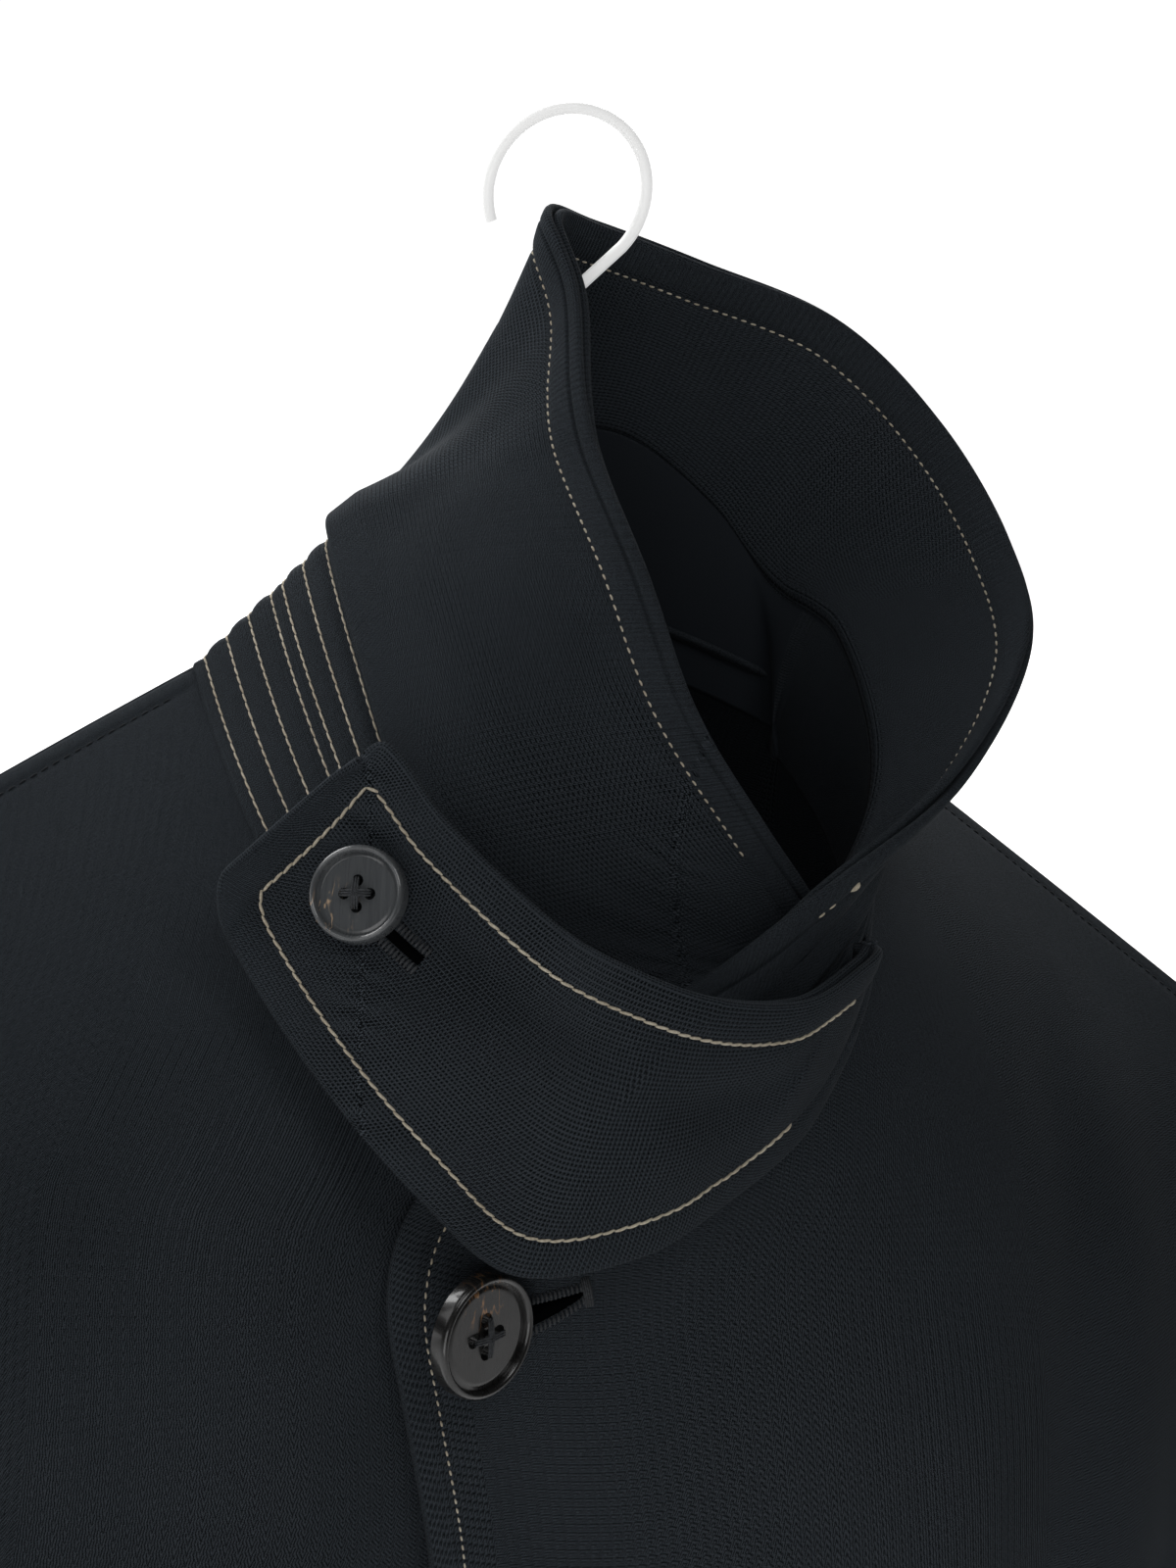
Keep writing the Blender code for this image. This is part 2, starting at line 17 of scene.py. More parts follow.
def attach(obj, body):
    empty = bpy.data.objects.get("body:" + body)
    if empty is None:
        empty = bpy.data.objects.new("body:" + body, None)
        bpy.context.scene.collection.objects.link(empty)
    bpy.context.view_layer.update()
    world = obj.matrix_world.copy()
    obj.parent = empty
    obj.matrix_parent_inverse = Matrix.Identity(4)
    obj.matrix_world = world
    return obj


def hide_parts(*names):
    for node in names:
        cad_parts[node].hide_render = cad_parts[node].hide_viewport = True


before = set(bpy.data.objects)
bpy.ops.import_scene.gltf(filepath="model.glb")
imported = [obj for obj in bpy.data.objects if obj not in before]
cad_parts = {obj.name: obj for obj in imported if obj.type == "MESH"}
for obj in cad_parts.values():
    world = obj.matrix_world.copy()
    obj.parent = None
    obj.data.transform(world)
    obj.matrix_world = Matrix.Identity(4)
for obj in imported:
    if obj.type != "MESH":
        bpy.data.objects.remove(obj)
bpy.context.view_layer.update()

MM = 0.001
SEAM = 0.3

# Neck and shoulders
NECK_HALF = 80
NECK_ROUND = 35
NECK_POINT = -8
FRONT_NECK_DROP = 64
BACK_NECK_RISE = 16
SHOULDER_SLOPE = math.tan(math.radians(33))
SHOULDER_HALF = 215
RIDGE_BACK = 32
RIDGE_SWEEP = 0.1
REACH = {"front": (45, 60), "back": (28, 55)}
REACH_FROM = 60
REACH_OVER = 140

# Body and armholes
HEM = 860
ARMHOLE_SCOOP = 22
ARMHOLE_SHARE = 0.4
SIDE_POWER = 3
FRONT_NECK_SHARE = 0.5
BACK_NECK_SHARE = 0.36
ROW_POWER = 1.6
SIDE_CROWD = 1.7
TOP_BLEND = 0.4
PROBE = 2

# Cloth thicknesses
PANEL_CLOTH = 2.0
STAND_CLOTH = 2.6
LEAF_CLOTH = 3.0
TAB_CLOTH = 3.0

# Front closure
EDGE_PAST_BUTTONS = 18
UNDER_PAST_BUTTONS = 49
UNDER_STEP = 5
UNDER_EASE = 30
BUTTON_COUNT = 4
FIRST_BUTTON = 112
BUTTON_SPACING = 140

# Buttons
FRONT_BUTTON = 28.5
TAB_BUTTON = 21.5
BUTTON_THICK = 4.2
BUTTON_SHANK = 1.0
FIRST_BUTTON_TIP = math.radians(29)
TAB_BUTTON_TURN = math.radians(15)
TAB_BUTTON_PLACE = (0.14, 0.44)

# Hanger
WIRE = 3.0
HOOK_RADIUS = 20
HOOK_CENTRE = np.array((-1.0, 35.0, 114.0))
HOOK_FROM = 205
HOOK_TO = -42
ARM_FOOT = -45
HOOK_TOP = HOOK_CENTRE + (0, 0, HOOK_RADIUS - WIRE / 2)

# Drop is the depth below the neck's middle; front and back are how far the body stands off the hanger.
Section = namedtuple("Section", "drop front back half_width")
BODY = (
    Section(-40, 138, 45, 250),
    Section(80, 138, 46, 246),
    Section(160, 138, 52, 240),
    Section(275, 128, 54, 236),
    Section(450, 112, 44, 246),
    Section(650, 100, 38, 256),
    Section(860, 104, 40, 268),
)

# The button line swings to the viewer's left under the collar, where the tab pulls it.
Closure = namedtuple("Closure", "drop x")
CLOSURE = (
    Closure(60, -18),
    Closure(82, -27),
    Closure(95, -33),
    Closure(110, -34),
    Closure(130, -29),
    Closure(176, -16),
    Closure(240, -5),
    Closure(400, -2),
    Closure(860, 0),
)

# Long soft folds: where each starts, how it drifts, how wide it is and how far it stands out at the hem.
Fold = namedtuple("Fold", "face top_x hem_x start width depth")
FOLDS = (
    Fold("front", -165, -190, 210, 30, 13),
    Fold("front", -95, -105, 330, 34, -11),
    Fold("front", 105, 96, 150, 26, 9),
    Fold("front", 160, 182, 120, 30, 14),
    Fold("back", -150, -172, 260, 36, 12),
    Fold("back", -40, -52, 340, 40, -9),
    Fold("back", 70, 88, 300, 38, 11),
    Fold("back", 165, 190, 280, 30, -8),
)
FOLD_EASE = 1.3

# Sleeve sections from armhole to cuff: the underarm's gap to the body and drop, the outer line, depths.
Sleeve = namedtuple("Sleeve", "along gap inner_drop outer_x outer_drop front back")
SLEEVE = (
    Sleeve(0.00, 5, 276, 217, 92, 56, 32),
    Sleeve(0.10, 7, 300, 262, 114, 58, 36),
    Sleeve(0.25, 8, 350, 308, 190, 62, 44),
    Sleeve(0.40, 8, 410, 334, 300, 64, 50),
    Sleeve(0.60, 9, 510, 345, 460, 61, 51),
    Sleeve(0.80, 11, 612, 351, 590, 57, 51),
    Sleeve(1.00, 13, 700, 355, 694, 52, 50),
)
SLEEVE_BLEND = 0.3
SLEEVE_LENGTH = 620
UNDERARM_GAP = 2
UNDERARM_SLOPE = 0.4
UNDERARM_SHARE = 0.35
UNDERARM_POWER = 4
LEAVE_RUN = 12
SHOULDER_POWER = 8

# Collar stations by angle round the neck from its back: left is negative, the right end passes the front.
Collar = namedtuple("Collar", "angle stand_x stand_y stand_z rim_x rim_y rim_z belly")
COLLAR = (
    Collar(-192, 20, -80, -46, 60, -60, -42, 0),
    Collar(-175, -4, -80, -38, 46, -65, -24, 0),
    Collar(-150, -30, -72, -22, 32, -65, -8, 3),
    Collar(-125, -44, -50, -4, 13, -59, 17, 6),
    Collar(-105, -48, -14, 20, 3, -43, 43, 5),
    Collar(-90, -47, 17, 34, -3, -12, 66, 1),
    Collar(-60, -36, 36, 30, 1, 22, 92, -2),
    Collar(-30, -19, 48, 40, -2, 40, 107, -1.5),
    Collar(0, 4, 54, 48, 14, 51, 103, 0),
    Collar(25, 30, 51, 49, 44, 53, 95, 2),
    Collar(50, 55, 42, 34, 80, 45, 85, 0),
    Collar(75, 70, 30, 18, 104, 25, 65, -4),
    Collar(95, 77, 4, 14, 113, -4, 45, -3),
    Collar(115, 74, -34, -4, 110, -30, 27, 0),
    Collar(135, 60, -62, -22, 84, -57, 2, 0),
    Collar(155, 36, -82, -38, 46, -76, -19, 0),
    Collar(180, 6, -95, -48, 17, -87, -37, 0),
    Collar(201, -26, -100, -58, -16, -98, -46, 0),
)
LEAF_OVERHANG = 5
LEAF_CLEAR = 3.8
KNEE_CLEAR = 3.0
LEAF_KNEE = 3
KNEE_SHARE = 1 / 6
BACK_STAND_RISE = 2.0
FRONT_STAND_RISE = 2.8
STAND_REACH = 1.5
COLLAR_UNDER = 5
UNDER_END_FROM = 120
FRONT_FROM = 80
TURN_OVER = 40
COLLAR_LEAN = 0.3

# Throat tab from its buttoned left end to the end caught under the right leaf: upper and lower edges.
Tab = namedtuple("Tab", "along upper_x upper_y upper_z lower_x lower_y lower_z")
TAB = (
    Tab(0.00, -63, -60, 4, -91, -58, -28),
    Tab(0.04, -58, -61, 7, -88, -64, -36),
    Tab(0.20, -47, -76, -5, -72, -88, -57),
    Tab(0.42, -26, -97, -20, -50, -108, -78),
    Tab(0.56, -12, -104, -26, -29, -114, -93),
    Tab(0.70, 10, -106, -33, -2, -116, -88),
    Tab(0.82, 35, -98, -37, 19, -108, -80),
    Tab(0.91, 52, -87, -34, 39, -98, -70),
    Tab(0.97, 60, -79, -31, 51, -88, -58),
    Tab(1.00, 59, -74, -24, 60, -79, -47),
)
TAB_BELLY = 4


# Garment surfaces

def read(rows, column, at):
    """Values of a table's column at places along its first column, on a smooth curve through the rows."""
    places = np.array([row[0] for row in rows], float)
    values = np.array([getattr(row, column) for row in rows], float)
    last = len(rows) - 1
    steps = np.arange(len(rows))
    before, after = np.maximum(steps - 1, 0), np.minimum(steps + 1, last)
    slopes = (values[after] - values[before]) / (places[after] - places[before])
    at = np.clip(at, places[0], places[last])
    i = np.clip(np.searchsorted(places, at, side="right") - 1, 0, last - 1)
    span = places[i + 1] - places[i]
    t = (at - places[i]) / span
    start = (2 * t**3 - 3 * t**2 + 1) * values[i] + (t**3 - 2 * t**2 + t) * span * slopes[i]
    return start + (3 * t**2 - 2 * t**3) * values[i + 1] + (t**3 - t**2) * span * slopes[i + 1]


def read_points(rows, columns, at):
    return np.stack([read(rows, column, at) for column in columns], -1)


def ease(t):
    """Smooth step from 0 to 1."""
    t = np.clip(t, 0.0, 1.0)
    return t * t * (3 - 2 * t)


def mix(a, b, t):
    return a + (b - a) * t


def spot(x, y, z):
    """Points from their coordinates, which may be numbers or arrays."""
    return np.stack(np.broadcast_arrays(x, y, z), -1).astype(float)


def unit(vectors):
    return vectors / np.maximum(np.linalg.norm(vectors, axis=-1, keepdims=True), 1e-9)


def metres(points):
    """Garment points in millimetres to metres from the hook."""
    return (np.asarray(points) - HOOK_TOP) * MM


def shoulder_line(x):
    """Height of the shoulder seam, rounded over the neck."""
    run = np.hypot(x, NECK_ROUND) - np.hypot(NECK_HALF, NECK_ROUND)
    return NECK_POINT - SHOULDER_SLOPE * run


def row_height(top, v):
    """Height of a panel's row: rows lie closer together near the shoulder."""
    return mix(top, -HEM, v**ROW_POWER)


SHOULDER_TIP = float(shoulder_line(SHOULDER_HALF))
UNDERARM = float(row_height(SHOULDER_TIP, ARMHOLE_SHARE))


def ridge(x):
    """How far back the shoulder seam lies: the hanger's arms sweep a little forward."""
    return RIDGE_BACK - RIDGE_SWEEP * np.hypot(x, NECK_ROUND)


def fold_depth(face, x, drop):
    """Sum of the long soft folds at points of the front or back."""
    total = np.zeros(np.broadcast(x, drop).shape)
    for fold in FOLDS:
        if fold.face == face:
            down = np.maximum((drop - fold.start) / (HEM - fold.start), 0)
            centre = mix(fold.top_x, fold.hem_x, down)
            total += fold.depth * ease(down * FOLD_EASE) * np.exp(-(((x - centre) / fold.width) ** 2))
    return total


def stand_off(face, x, z):
    """Distance of the front or back panel from the shoulder ridge's plane."""
    below = np.maximum(shoulder_line(x) - z, 0.0)
    near, far = REACH[face]
    reach = mix(near, far, ease((np.abs(x) - REACH_FROM) / REACH_OVER))
    side = np.maximum(1 - (np.abs(x) / read(BODY, "half_width", -z)) ** SIDE_POWER, 0.0) ** 0.5
    return (read(BODY, face, -z) + fold_depth(face, x, -z)) * side * (1 - np.exp(-below / reach)) + SEAM


def on_front(x, z):
    return spot(x, ridge(x) - stand_off("front", x, z), z)


def on_back(x, z):
    return spot(x, ridge(x) + stand_off("back", x, z), z)


def armhole_x(z):
    """Half width of the body panels: the armhole's scoop above the underarm, then the side seam."""
    t = np.clip((SHOULDER_TIP - z) / (SHOULDER_TIP - UNDERARM), 0, 1)
    line = mix(SHOULDER_HALF, read(BODY, "half_width", -UNDERARM), t)
    scooped = line - ARMHOLE_SCOOP * np.sin(np.pi * t)
    return np.where(z <= UNDERARM, read(BODY, "half_width", -z), scooped)


def neck_height(angle):
    """Height of the neckline at an angle from the back of the neck."""
    turn = np.cos(np.radians(angle))
    return NECK_POINT + np.where(turn > 0, BACK_NECK_RISE * turn**2, FRONT_NECK_DROP * turn)


def neck_x(angle):
    return NECK_HALF * np.sin(np.radians(angle))


def front_edge(side, z):
    """Front edge of a front panel, measured from the middle towards its own side."""
    line = read(CLOSURE, "x", -z)
    return line - EDGE_PAST_BUTTONS if side > 0 else -(line + UNDER_PAST_BUTTONS)


def panel_top(u, neck_angle, neck_share):
    """Neckline from an angle round the neck, then the shoulder seam, as a half width and a height."""
    angle = mix(neck_angle, 90, np.minimum(u / neck_share, 1))
    x = mix(NECK_HALF, SHOULDER_HALF, np.maximum(u - neck_share, 0) / (1 - neck_share))
    on_neck = u < neck_share
    return np.where(on_neck, neck_x(angle), x), np.where(on_neck, neck_height(angle), shoulder_line(x))


def spread(u, v, top_share):
    """Share of a panel's width: as along its top edge, then crowding towards the side."""
    return mix(top_share, 1 - (1 - u) ** SIDE_CROWD, ease(v / TOP_BLEND))


def front_panel(side):
    """Point function of a front panel: u from front edge to side, v from neckline and shoulder to hem."""
    top_edge = float(front_edge(side, -FRONT_NECK_DROP))
    neck_angle = 180 - math.degrees(math.asin(top_edge / NECK_HALF))

    def point(u, v):
        top_x, top_z = panel_top(u, neck_angle, FRONT_NECK_SHARE)
        z = row_height(top_z, v)
        start, end = front_edge(side, top_z), armhole_x(top_z)
        share = spread(u, v, (top_x - start) / (end - start))
        result = on_front(side * mix(front_edge(side, z), armhole_x(z), share), z)
        if side < 0:
            over_edge = read(CLOSURE, "x", -z) - EDGE_PAST_BUTTONS
            result[..., 1] += UNDER_STEP * ease((result[..., 0] - over_edge + UNDER_EASE) / UNDER_EASE)
        return result

    return point


def back_panel(u, v):
    """Back: u from the viewer's left side to the right, v from neck and shoulders to hem."""
    across = 2 * u - 1
    span = np.abs(across)
    top_x, top_z = panel_top(span, 0, BACK_NECK_SHARE)
    z = row_height(top_z, v)
    return on_back(np.sign(across) * armhole_x(z) * spread(span, v, top_x / armhole_x(top_z)), z)


def sleeve_head(side, turn, out):
    """Points out from the armhole's edge: on in the panel's own direction there, then straight outwards."""
    down = 2 * np.minimum(turn, 1 - turn)
    z = row_height(SHOULDER_TIP, down * ARMHOLE_SHARE)
    x = side * armhole_x(z)

    def panel_point(at_x):
        front = ridge(at_x) - stand_off("front", at_x, z) + SEAM
        back = ridge(at_x) + stand_off("back", at_x, z) - SEAM
        return spot(at_x, np.where(turn < 0.5, front, back), z)

    edge = panel_point(x)
    leave = unit(edge - panel_point(x - side * PROBE))
    leave = mix(leave, np.array((side, 0, -SHOULDER_SLOPE)), ((1 - down) ** SHOULDER_POWER)[..., None])
    under = (down**UNDERARM_POWER)[..., None]
    leave = unit(mix(leave, np.array((side, 0, -UNDERARM_SLOPE)), under))
    out = out[..., None] * mix(1, UNDERARM_SHARE, under)
    run = LEAVE_RUN * (1 - np.exp(-out / LEAVE_RUN))
    outward = unit(spot(side, 0, -mix(SHOULDER_SLOPE, UNDERARM_SLOPE, down)))
    return edge + leave * (SEAM + run + UNDERARM_GAP * under) + outward * (out - run)


def sleeve(side):
    """Point function of a sleeve: u round it from the shoulder towards the front, v down to the cuff."""

    def point(u, v):
        round_by = 2 * np.pi * u
        inner_z = -read(SLEEVE, "inner_drop", v)
        inner = spot(read(BODY, "half_width", -inner_z) + read(SLEEVE, "gap", v), 0, inner_z)
        outer = spot(read(SLEEVE, "outer_x", v), 0, -read(SLEEVE, "outer_drop", v))
        depth = np.where(u < 0.5, read(SLEEVE, "front", v), read(SLEEVE, "back", v))
        section = (inner + outer) / 2 + (outer - inner) / 2 * np.cos(round_by)[..., None]
        section[..., 1] = ridge(SHOULDER_HALF) - depth * np.sin(round_by)
        section[..., 0] *= side
        head = sleeve_head(side, u, v * SLEEVE_LENGTH)
        return mix(head, section, ease(v / SLEEVE_BLEND)[..., None])

    return point


def neck_seam(angle):
    """Where the stand sits on the neckline: on the panels' middle, the under end inside the over end."""
    x, z = neck_x(angle), neck_height(angle)
    back = (np.cos(np.radians(angle)) > 0)[..., None]
    away = spot(np.sin(np.radians(angle)), np.cos(np.radians(angle)), 0)
    inside = COLLAR_UNDER * ease((-angle - UNDER_END_FROM) / TURN_OVER)
    return np.where(back, on_back(x, z), on_front(x, z)) + away * (PANEL_CLOTH / 2 - inside)[..., None]


def stand_top(angle):
    return read_points(COLLAR, ("stand_x", "stand_y", "stand_z"), angle)


def rim(angle):
    return read_points(COLLAR, ("rim_x", "rim_y", "rim_z"), angle)


def collar_out(angle):
    """Outward direction, square to the stand, at the stand's top."""
    along = stand_top(angle + 1) - stand_top(angle - 1)
    normal = unit(np.cross(along, stand_top(angle) - neck_seam(angle)))
    outward = spot(np.sin(np.radians(angle)), np.cos(np.radians(angle)), COLLAR_LEAN)
    return normal * np.where((normal * outward).sum(-1, keepdims=True) > 0, 1, -1)


def collar_angle(u):
    return mix(COLLAR[0].angle, COLLAR[-1].angle, u)


def collar_stand(u, v):
    """Stand from the neck seam up to just under the leaf's roll."""
    angle = collar_angle(u)
    seam, top = neck_seam(angle), stand_top(angle)
    height = np.linalg.norm(top - seam, axis=-1)
    rise = mix(BACK_STAND_RISE, FRONT_STAND_RISE, ease((np.abs(angle) - FRONT_FROM) / TURN_OVER))
    return mix(seam, top, mix(rise / height, 1 + STAND_REACH / height, v)[..., None])


def collar_leaf(u, v):
    """Leaf: a row outside the stand's top, a knee over that top, then up to the rim."""
    angle = collar_angle(u)
    seam, top, edge = neck_seam(angle), stand_top(angle), rim(angle)
    out = collar_out(angle)
    up = unit(top - seam)
    base = top - up * LEAF_OVERHANG + out * LEAF_CLEAR
    knee = top + up * LEAF_KNEE + out * KNEE_CLEAR
    low = np.minimum(v / KNEE_SHARE, 1)[..., None]
    rise = np.maximum((v - KNEE_SHARE) / (1 - KNEE_SHARE), 0)
    belly = read(COLLAR, "belly", angle) * np.sin(np.pi * rise)
    return mix(mix(base, knee, low), edge, rise[..., None]) + out * belly[..., None]


TAB_SIZE = (175, 55)
TAB_CORNERS = ((0, 0, 9), (0, 1, 6), (1, 0, 9), (1, 1, 8))


def round_corners(u, v):
    """Shares on the tab with its square corners drawn in to round ones."""
    for end, edge, radius in TAB_CORNERS:
        width = TAB_SIZE[1] if end == 0 else TAB_SIZE[1] / 3
        a = radius - np.abs(u - end) * TAB_SIZE[0]
        b = radius - np.abs(v - edge) * width
        draw = np.where((a > 0) & (b > 0), np.maximum(a, b) / np.maximum(np.hypot(a, b), 1e-9), 1)
        moved_u = np.abs((radius - a * draw) / TAB_SIZE[0] - end)
        moved_v = np.abs((radius - b * draw) / width - edge)
        u, v = np.where(draw < 1, moved_u, u), np.where(draw < 1, moved_v, v)
    return u, v


def throat_tab(u, v):
    u, v = round_corners(u, v)
    upper = read_points(TAB, ("upper_x", "upper_y", "upper_z"), u)
    lower = read_points(TAB, ("lower_x", "lower_y", "lower_z"), u)
    point = mix(upper, lower, v[..., None])
    point[..., 1] -= TAB_BELLY * np.sin(np.pi * v) * np.sin(np.pi * u)
    return point


# Cloth shells

def run_lengths(points, axis):
    """Length of cloth from the start of each grid line, in millimetres."""
    steps = np.linalg.norm(np.diff(points, axis=axis), axis=-1)
    pad = [(0, 0), (0, 0)]
    pad[axis] = (1, 0)
    return np.pad(np.cumsum(steps, axis=axis), pad)


def grid_steps(points, axis, tube):
    if not tube or axis == 0:
        return np.gradient(points, axis=axis)
    wrapped = np.concatenate((points[:, -2:-1], points, points[:, 1:2]), axis=1)
    return np.gradient(wrapped, axis=1)[:, 1:-1]


# How a wall's edge runs from its outer to its inner face: share of the way and bulge, both by thickness
Edge = namedtuple("Edge", "share bulge")
ROUND_TURNS = np.radians((35, 70, 110, 145))
ROUND_EDGE = tuple(Edge((1 - math.cos(t)) / 2, math.sin(t) / 2) for t in ROUND_TURNS)

# A doubled edge: two rolled lips with the groove of their seam between them
LIP_TURNS = np.radians((25, 60, 95, 130, 160))
LIP_BULGE = 0.44
LIP_SPAN = 0.44
FIRST_LIP = tuple(Edge(LIP_SPAN * (1 - math.cos(t)) / 2, LIP_BULGE * math.sin(t)) for t in LIP_TURNS)
LIP_GROOVE = (Edge(0.455, -0.15), Edge(0.5, -0.6), Edge(0.545, -0.15))
SECOND_LIP = tuple(Edge(1 - lip.share, lip.bulge) for lip in reversed(FIRST_LIP))
DOUBLE_EDGE = FIRST_LIP + LIP_GROOVE + SECOND_LIP


class Cloth:
    """One cloth piece on a grid of places along (u) and across (v), with an outer and an inner face."""

    def __init__(self, point, us, vs, thickness, grow=0, flip=False, tube=False):
        self.us, self.vs = us, vs
        self.thickness, self.grow, self.tube = thickness, grow, tube
        self.facing = -1 if flip else 1
        self.lined = np.ones((len(vs) - 1, len(us) - 1), bool)
        self.u, self.v = np.meshgrid(us, vs)
        self.middle = point(self.u, self.v)
        self.measure()
        self.grain = np.stack((self.along, self.across), -1)

    def measure(self):
        along, across = (grid_steps(self.middle, axis, self.tube) for axis in (1, 0))
        self.normal = self.facing * unit(np.cross(along, across))
        self.along = run_lengths(self.middle, 1)
        self.across = run_lengths(self.middle, 0)

    def edge_gaps(self):
        """Distances to the four edges: the start and end along, and the start and end across."""
        return self.along, self.along[:, -1:] - self.along, self.across, self.across[-1:] - self.across

    def push(self, depth):
        """Moves both faces out by a depth at each place, for creases and waves."""
        self.middle = self.middle + self.normal * depth[..., None]
        self.measure()

    def wall(self, outer_relief=0.0, inner_relief=0.0):
        """Sets the two faces, each with its own low relief."""
        ones = np.ones_like(self.u)
        shift = self.thickness * self.grow / 2
        outer = (shift + self.thickness / 2) * ones + outer_relief
        inner = (shift - self.thickness / 2) * ones - inner_relief
        self.outer = self.middle + self.normal * outer[..., None]
        self.inner = self.middle + self.normal * inner[..., None]

    def at(self, u, v, side=1):
        """Places and outward normals on the outer (1) or inner (-1) face."""
        grid_i = np.interp(u, self.us, np.arange(len(self.us)))
        grid_j = np.interp(v, self.vs, np.arange(len(self.vs)))
        i = np.minimum(grid_i.astype(int), len(self.us) - 2)
        j = np.minimum(grid_j.astype(int), len(self.vs) - 2)
        right, down = (grid_i - i)[..., None], (grid_j - j)[..., None]

        def blend(grid):
            above = mix(grid[j, i], grid[j, i + 1], right)
            below = mix(grid[j + 1, i], grid[j + 1, i + 1], right)
            return mix(above, below, down)

        return blend(self.outer if side > 0 else self.inner), unit(blend(self.normal)) * side

    def inset_row(self, gap, from_end):
        """Share across at a distance from the first or last row, for each column."""
        lengths = self.across[-1:] - self.across[::-1] if from_end else self.across
        places = self.vs[::-1] if from_end else self.vs
        return np.array([np.interp(gap, lengths[:, i], places) for i in range(len(self.us))])

    def inset_column(self, gap, from_end):
        """Share along at a distance from the first or last column, for each row."""
        lengths = self.along[:, -1:] - self.along[:, ::-1] if from_end else self.along
        places = self.us[::-1] if from_end else self.us
        return np.array([np.interp(gap, lengths[j], places) for j in range(len(self.vs))])

    def border(self):
        """Closed loops of grid places round the piece, as rows and columns, the first place repeated."""
        rows, columns = len(self.vs), len(self.us)
        across, along = np.arange(rows), np.arange(columns)
        if self.tube:
            return [(0 * along, along), (0 * along + rows - 1, along[::-1])]
        j = np.concatenate((0 * along, across[1:], 0 * along[1:] + rows - 1, across[-2::-1]))
        i = np.concatenate((along, 0 * across[1:] + columns - 1, along[-2::-1], 0 * across[1:]))
        return [(j, i)]

    def build(self, name, looks, edge):
        """Mesh object: both faces and a rounded edge between them, with the weave's places as its UV map."""
        rows, columns = self.u.shape
        ring = columns - 1 if self.tube else columns
        ids = np.arange(rows)[:, None] * ring + np.arange(columns)[None, :] % ring
        points = [self.outer[:, :ring].reshape(-1, 3), self.inner[:, :ring].reshape(-1, 3)]
        count = rows * ring

        def quads(grid):
            corners = (grid[:-1, :-1], grid[:-1, 1:], grid[1:, 1:], grid[1:, :-1])
            return np.stack(corners[:: self.facing], -1).reshape(-1, 4, *grid.shape[2:])

        faces = [quads(ids), quads(ids)[:, ::-1] + count]
        places = [quads(self.grain), quads(self.grain)[:, ::-1]]
        start = 2 * count
        for j, i in self.border():
            outer, inner = self.outer[j, i], self.inner[j, i]
            run = np.roll(outer[:-1], -1, 0) - np.roll(outer[:-1], 1, 0)
            away = unit(np.cross(run, self.facing * self.normal[j, i][:-1]))
            length = len(run)
            strip = [ids[j, i]]
            for step in edge:
                middle = mix(outer[:-1], inner[:-1], step.share)
                points.append(middle + away * step.bulge * self.thickness)
                strip.append(start + np.arange(length + 1) % length)
                start += length
            strip.append(ids[j, i] + count)
            strip = np.stack(strip)
            grain = np.broadcast_to(self.grain[j, i], (*strip.shape, 2)).copy()
            grain[..., 1] += np.linspace(0, self.thickness, len(strip))[:, None]
            faces.append(quads(strip)[:, ::-1])
            places.append(quads(grain)[:, ::-1])
        sizes = [len(faces[0]), len(faces[1]), sum(len(strip) for strip in faces[2:])]
        item = add_mesh(name, np.concatenate(points), np.concatenate(faces), looks)
        index = np.repeat((0, len(looks) - 1, 0), sizes)
        index[sizes[0]:sizes[0] + sizes[1]] *= self.lined.ravel()
        item.data.polygons.foreach_set("material_index", index)
        layer = item.data.uv_layers.new(name="cloth")
        layer.uv.foreach_set("vector", np.concatenate(places).astype(np.float32).ravel())
        return item


def add_mesh(name, points, faces, looks):
    """Smooth mesh object at the origin, from garment points and faces."""
    mesh = bpy.data.meshes.new(name)
    mesh.from_pydata(metres(points).tolist(), [], [list(face) for face in faces])
    mesh.shade_smooth()
    for look in looks:
        mesh.materials.append(look)
    item = bpy.data.objects.new(name, mesh)
    bpy.context.collection.objects.link(item)
    return item


# Creases: soft troughs (below 0) and ridges between two places on a piece, in its own sizes
Crease = namedtuple("Crease", "from_a from_b to_a to_b width depth")

# How squarely a crease runs out at its ends, and a full edge at its rim and stitch line
CREASE_POWER = 0.6
ROLL_POWER = 0.7


def crease_depth(creases, a, b):
    """Sum of creases at places a, b: each fades out along its length and to its sides."""
    total = np.zeros(a.shape)
    for crease in creases:
        run_a, run_b = crease.to_a - crease.from_a, crease.to_b - crease.from_b
        t = ((a - crease.from_a) * run_a + (b - crease.from_b) * run_b) / (run_a**2 + run_b**2)
        held = np.clip(t, 0, 1)
        gap = np.hypot(a - crease.from_a - held * run_a, b - crease.from_b - held * run_b)
        total += crease.depth * np.exp(-((gap / crease.width) ** 2)) * np.sin(np.pi * held) ** CREASE_POWER
    return total


def stitch_dent(gap, line, depth=0.35, width=1.1):
    """The dent that a stitch line pulls into the cloth."""
    return -depth * np.exp(-(((gap - line) / width) ** 2))


def edge_roll(gap, line, height):
    """The full edge between a piece's rim and its stitch line."""
    return height * np.sin(np.pi * np.clip(gap / line, 0, 1)) ** ROLL_POWER


# The edge of the leaf and the tab is full where its seam allowances lie
EDGE_FULL = 6.0
EDGE_HEIGHT = 1.1

# The leaf's fold covers the stand's top from inside
FOLD_IN = 3.4
FOLD_START = 0.75
FOLD_FADE = 0.28

# The seam that joins the leaf's two layers rolls to the outer face, this far in from the rim
RIM_SEAM_IN = 2.4
RIM_SEAM_WIDTH = 0.4
RIM_SEAM_DEPTH = 0.8
RIM_SEAM_TO = 70

# Leaf creases fade in from its rim over this length
RIM_PLAIN = 10

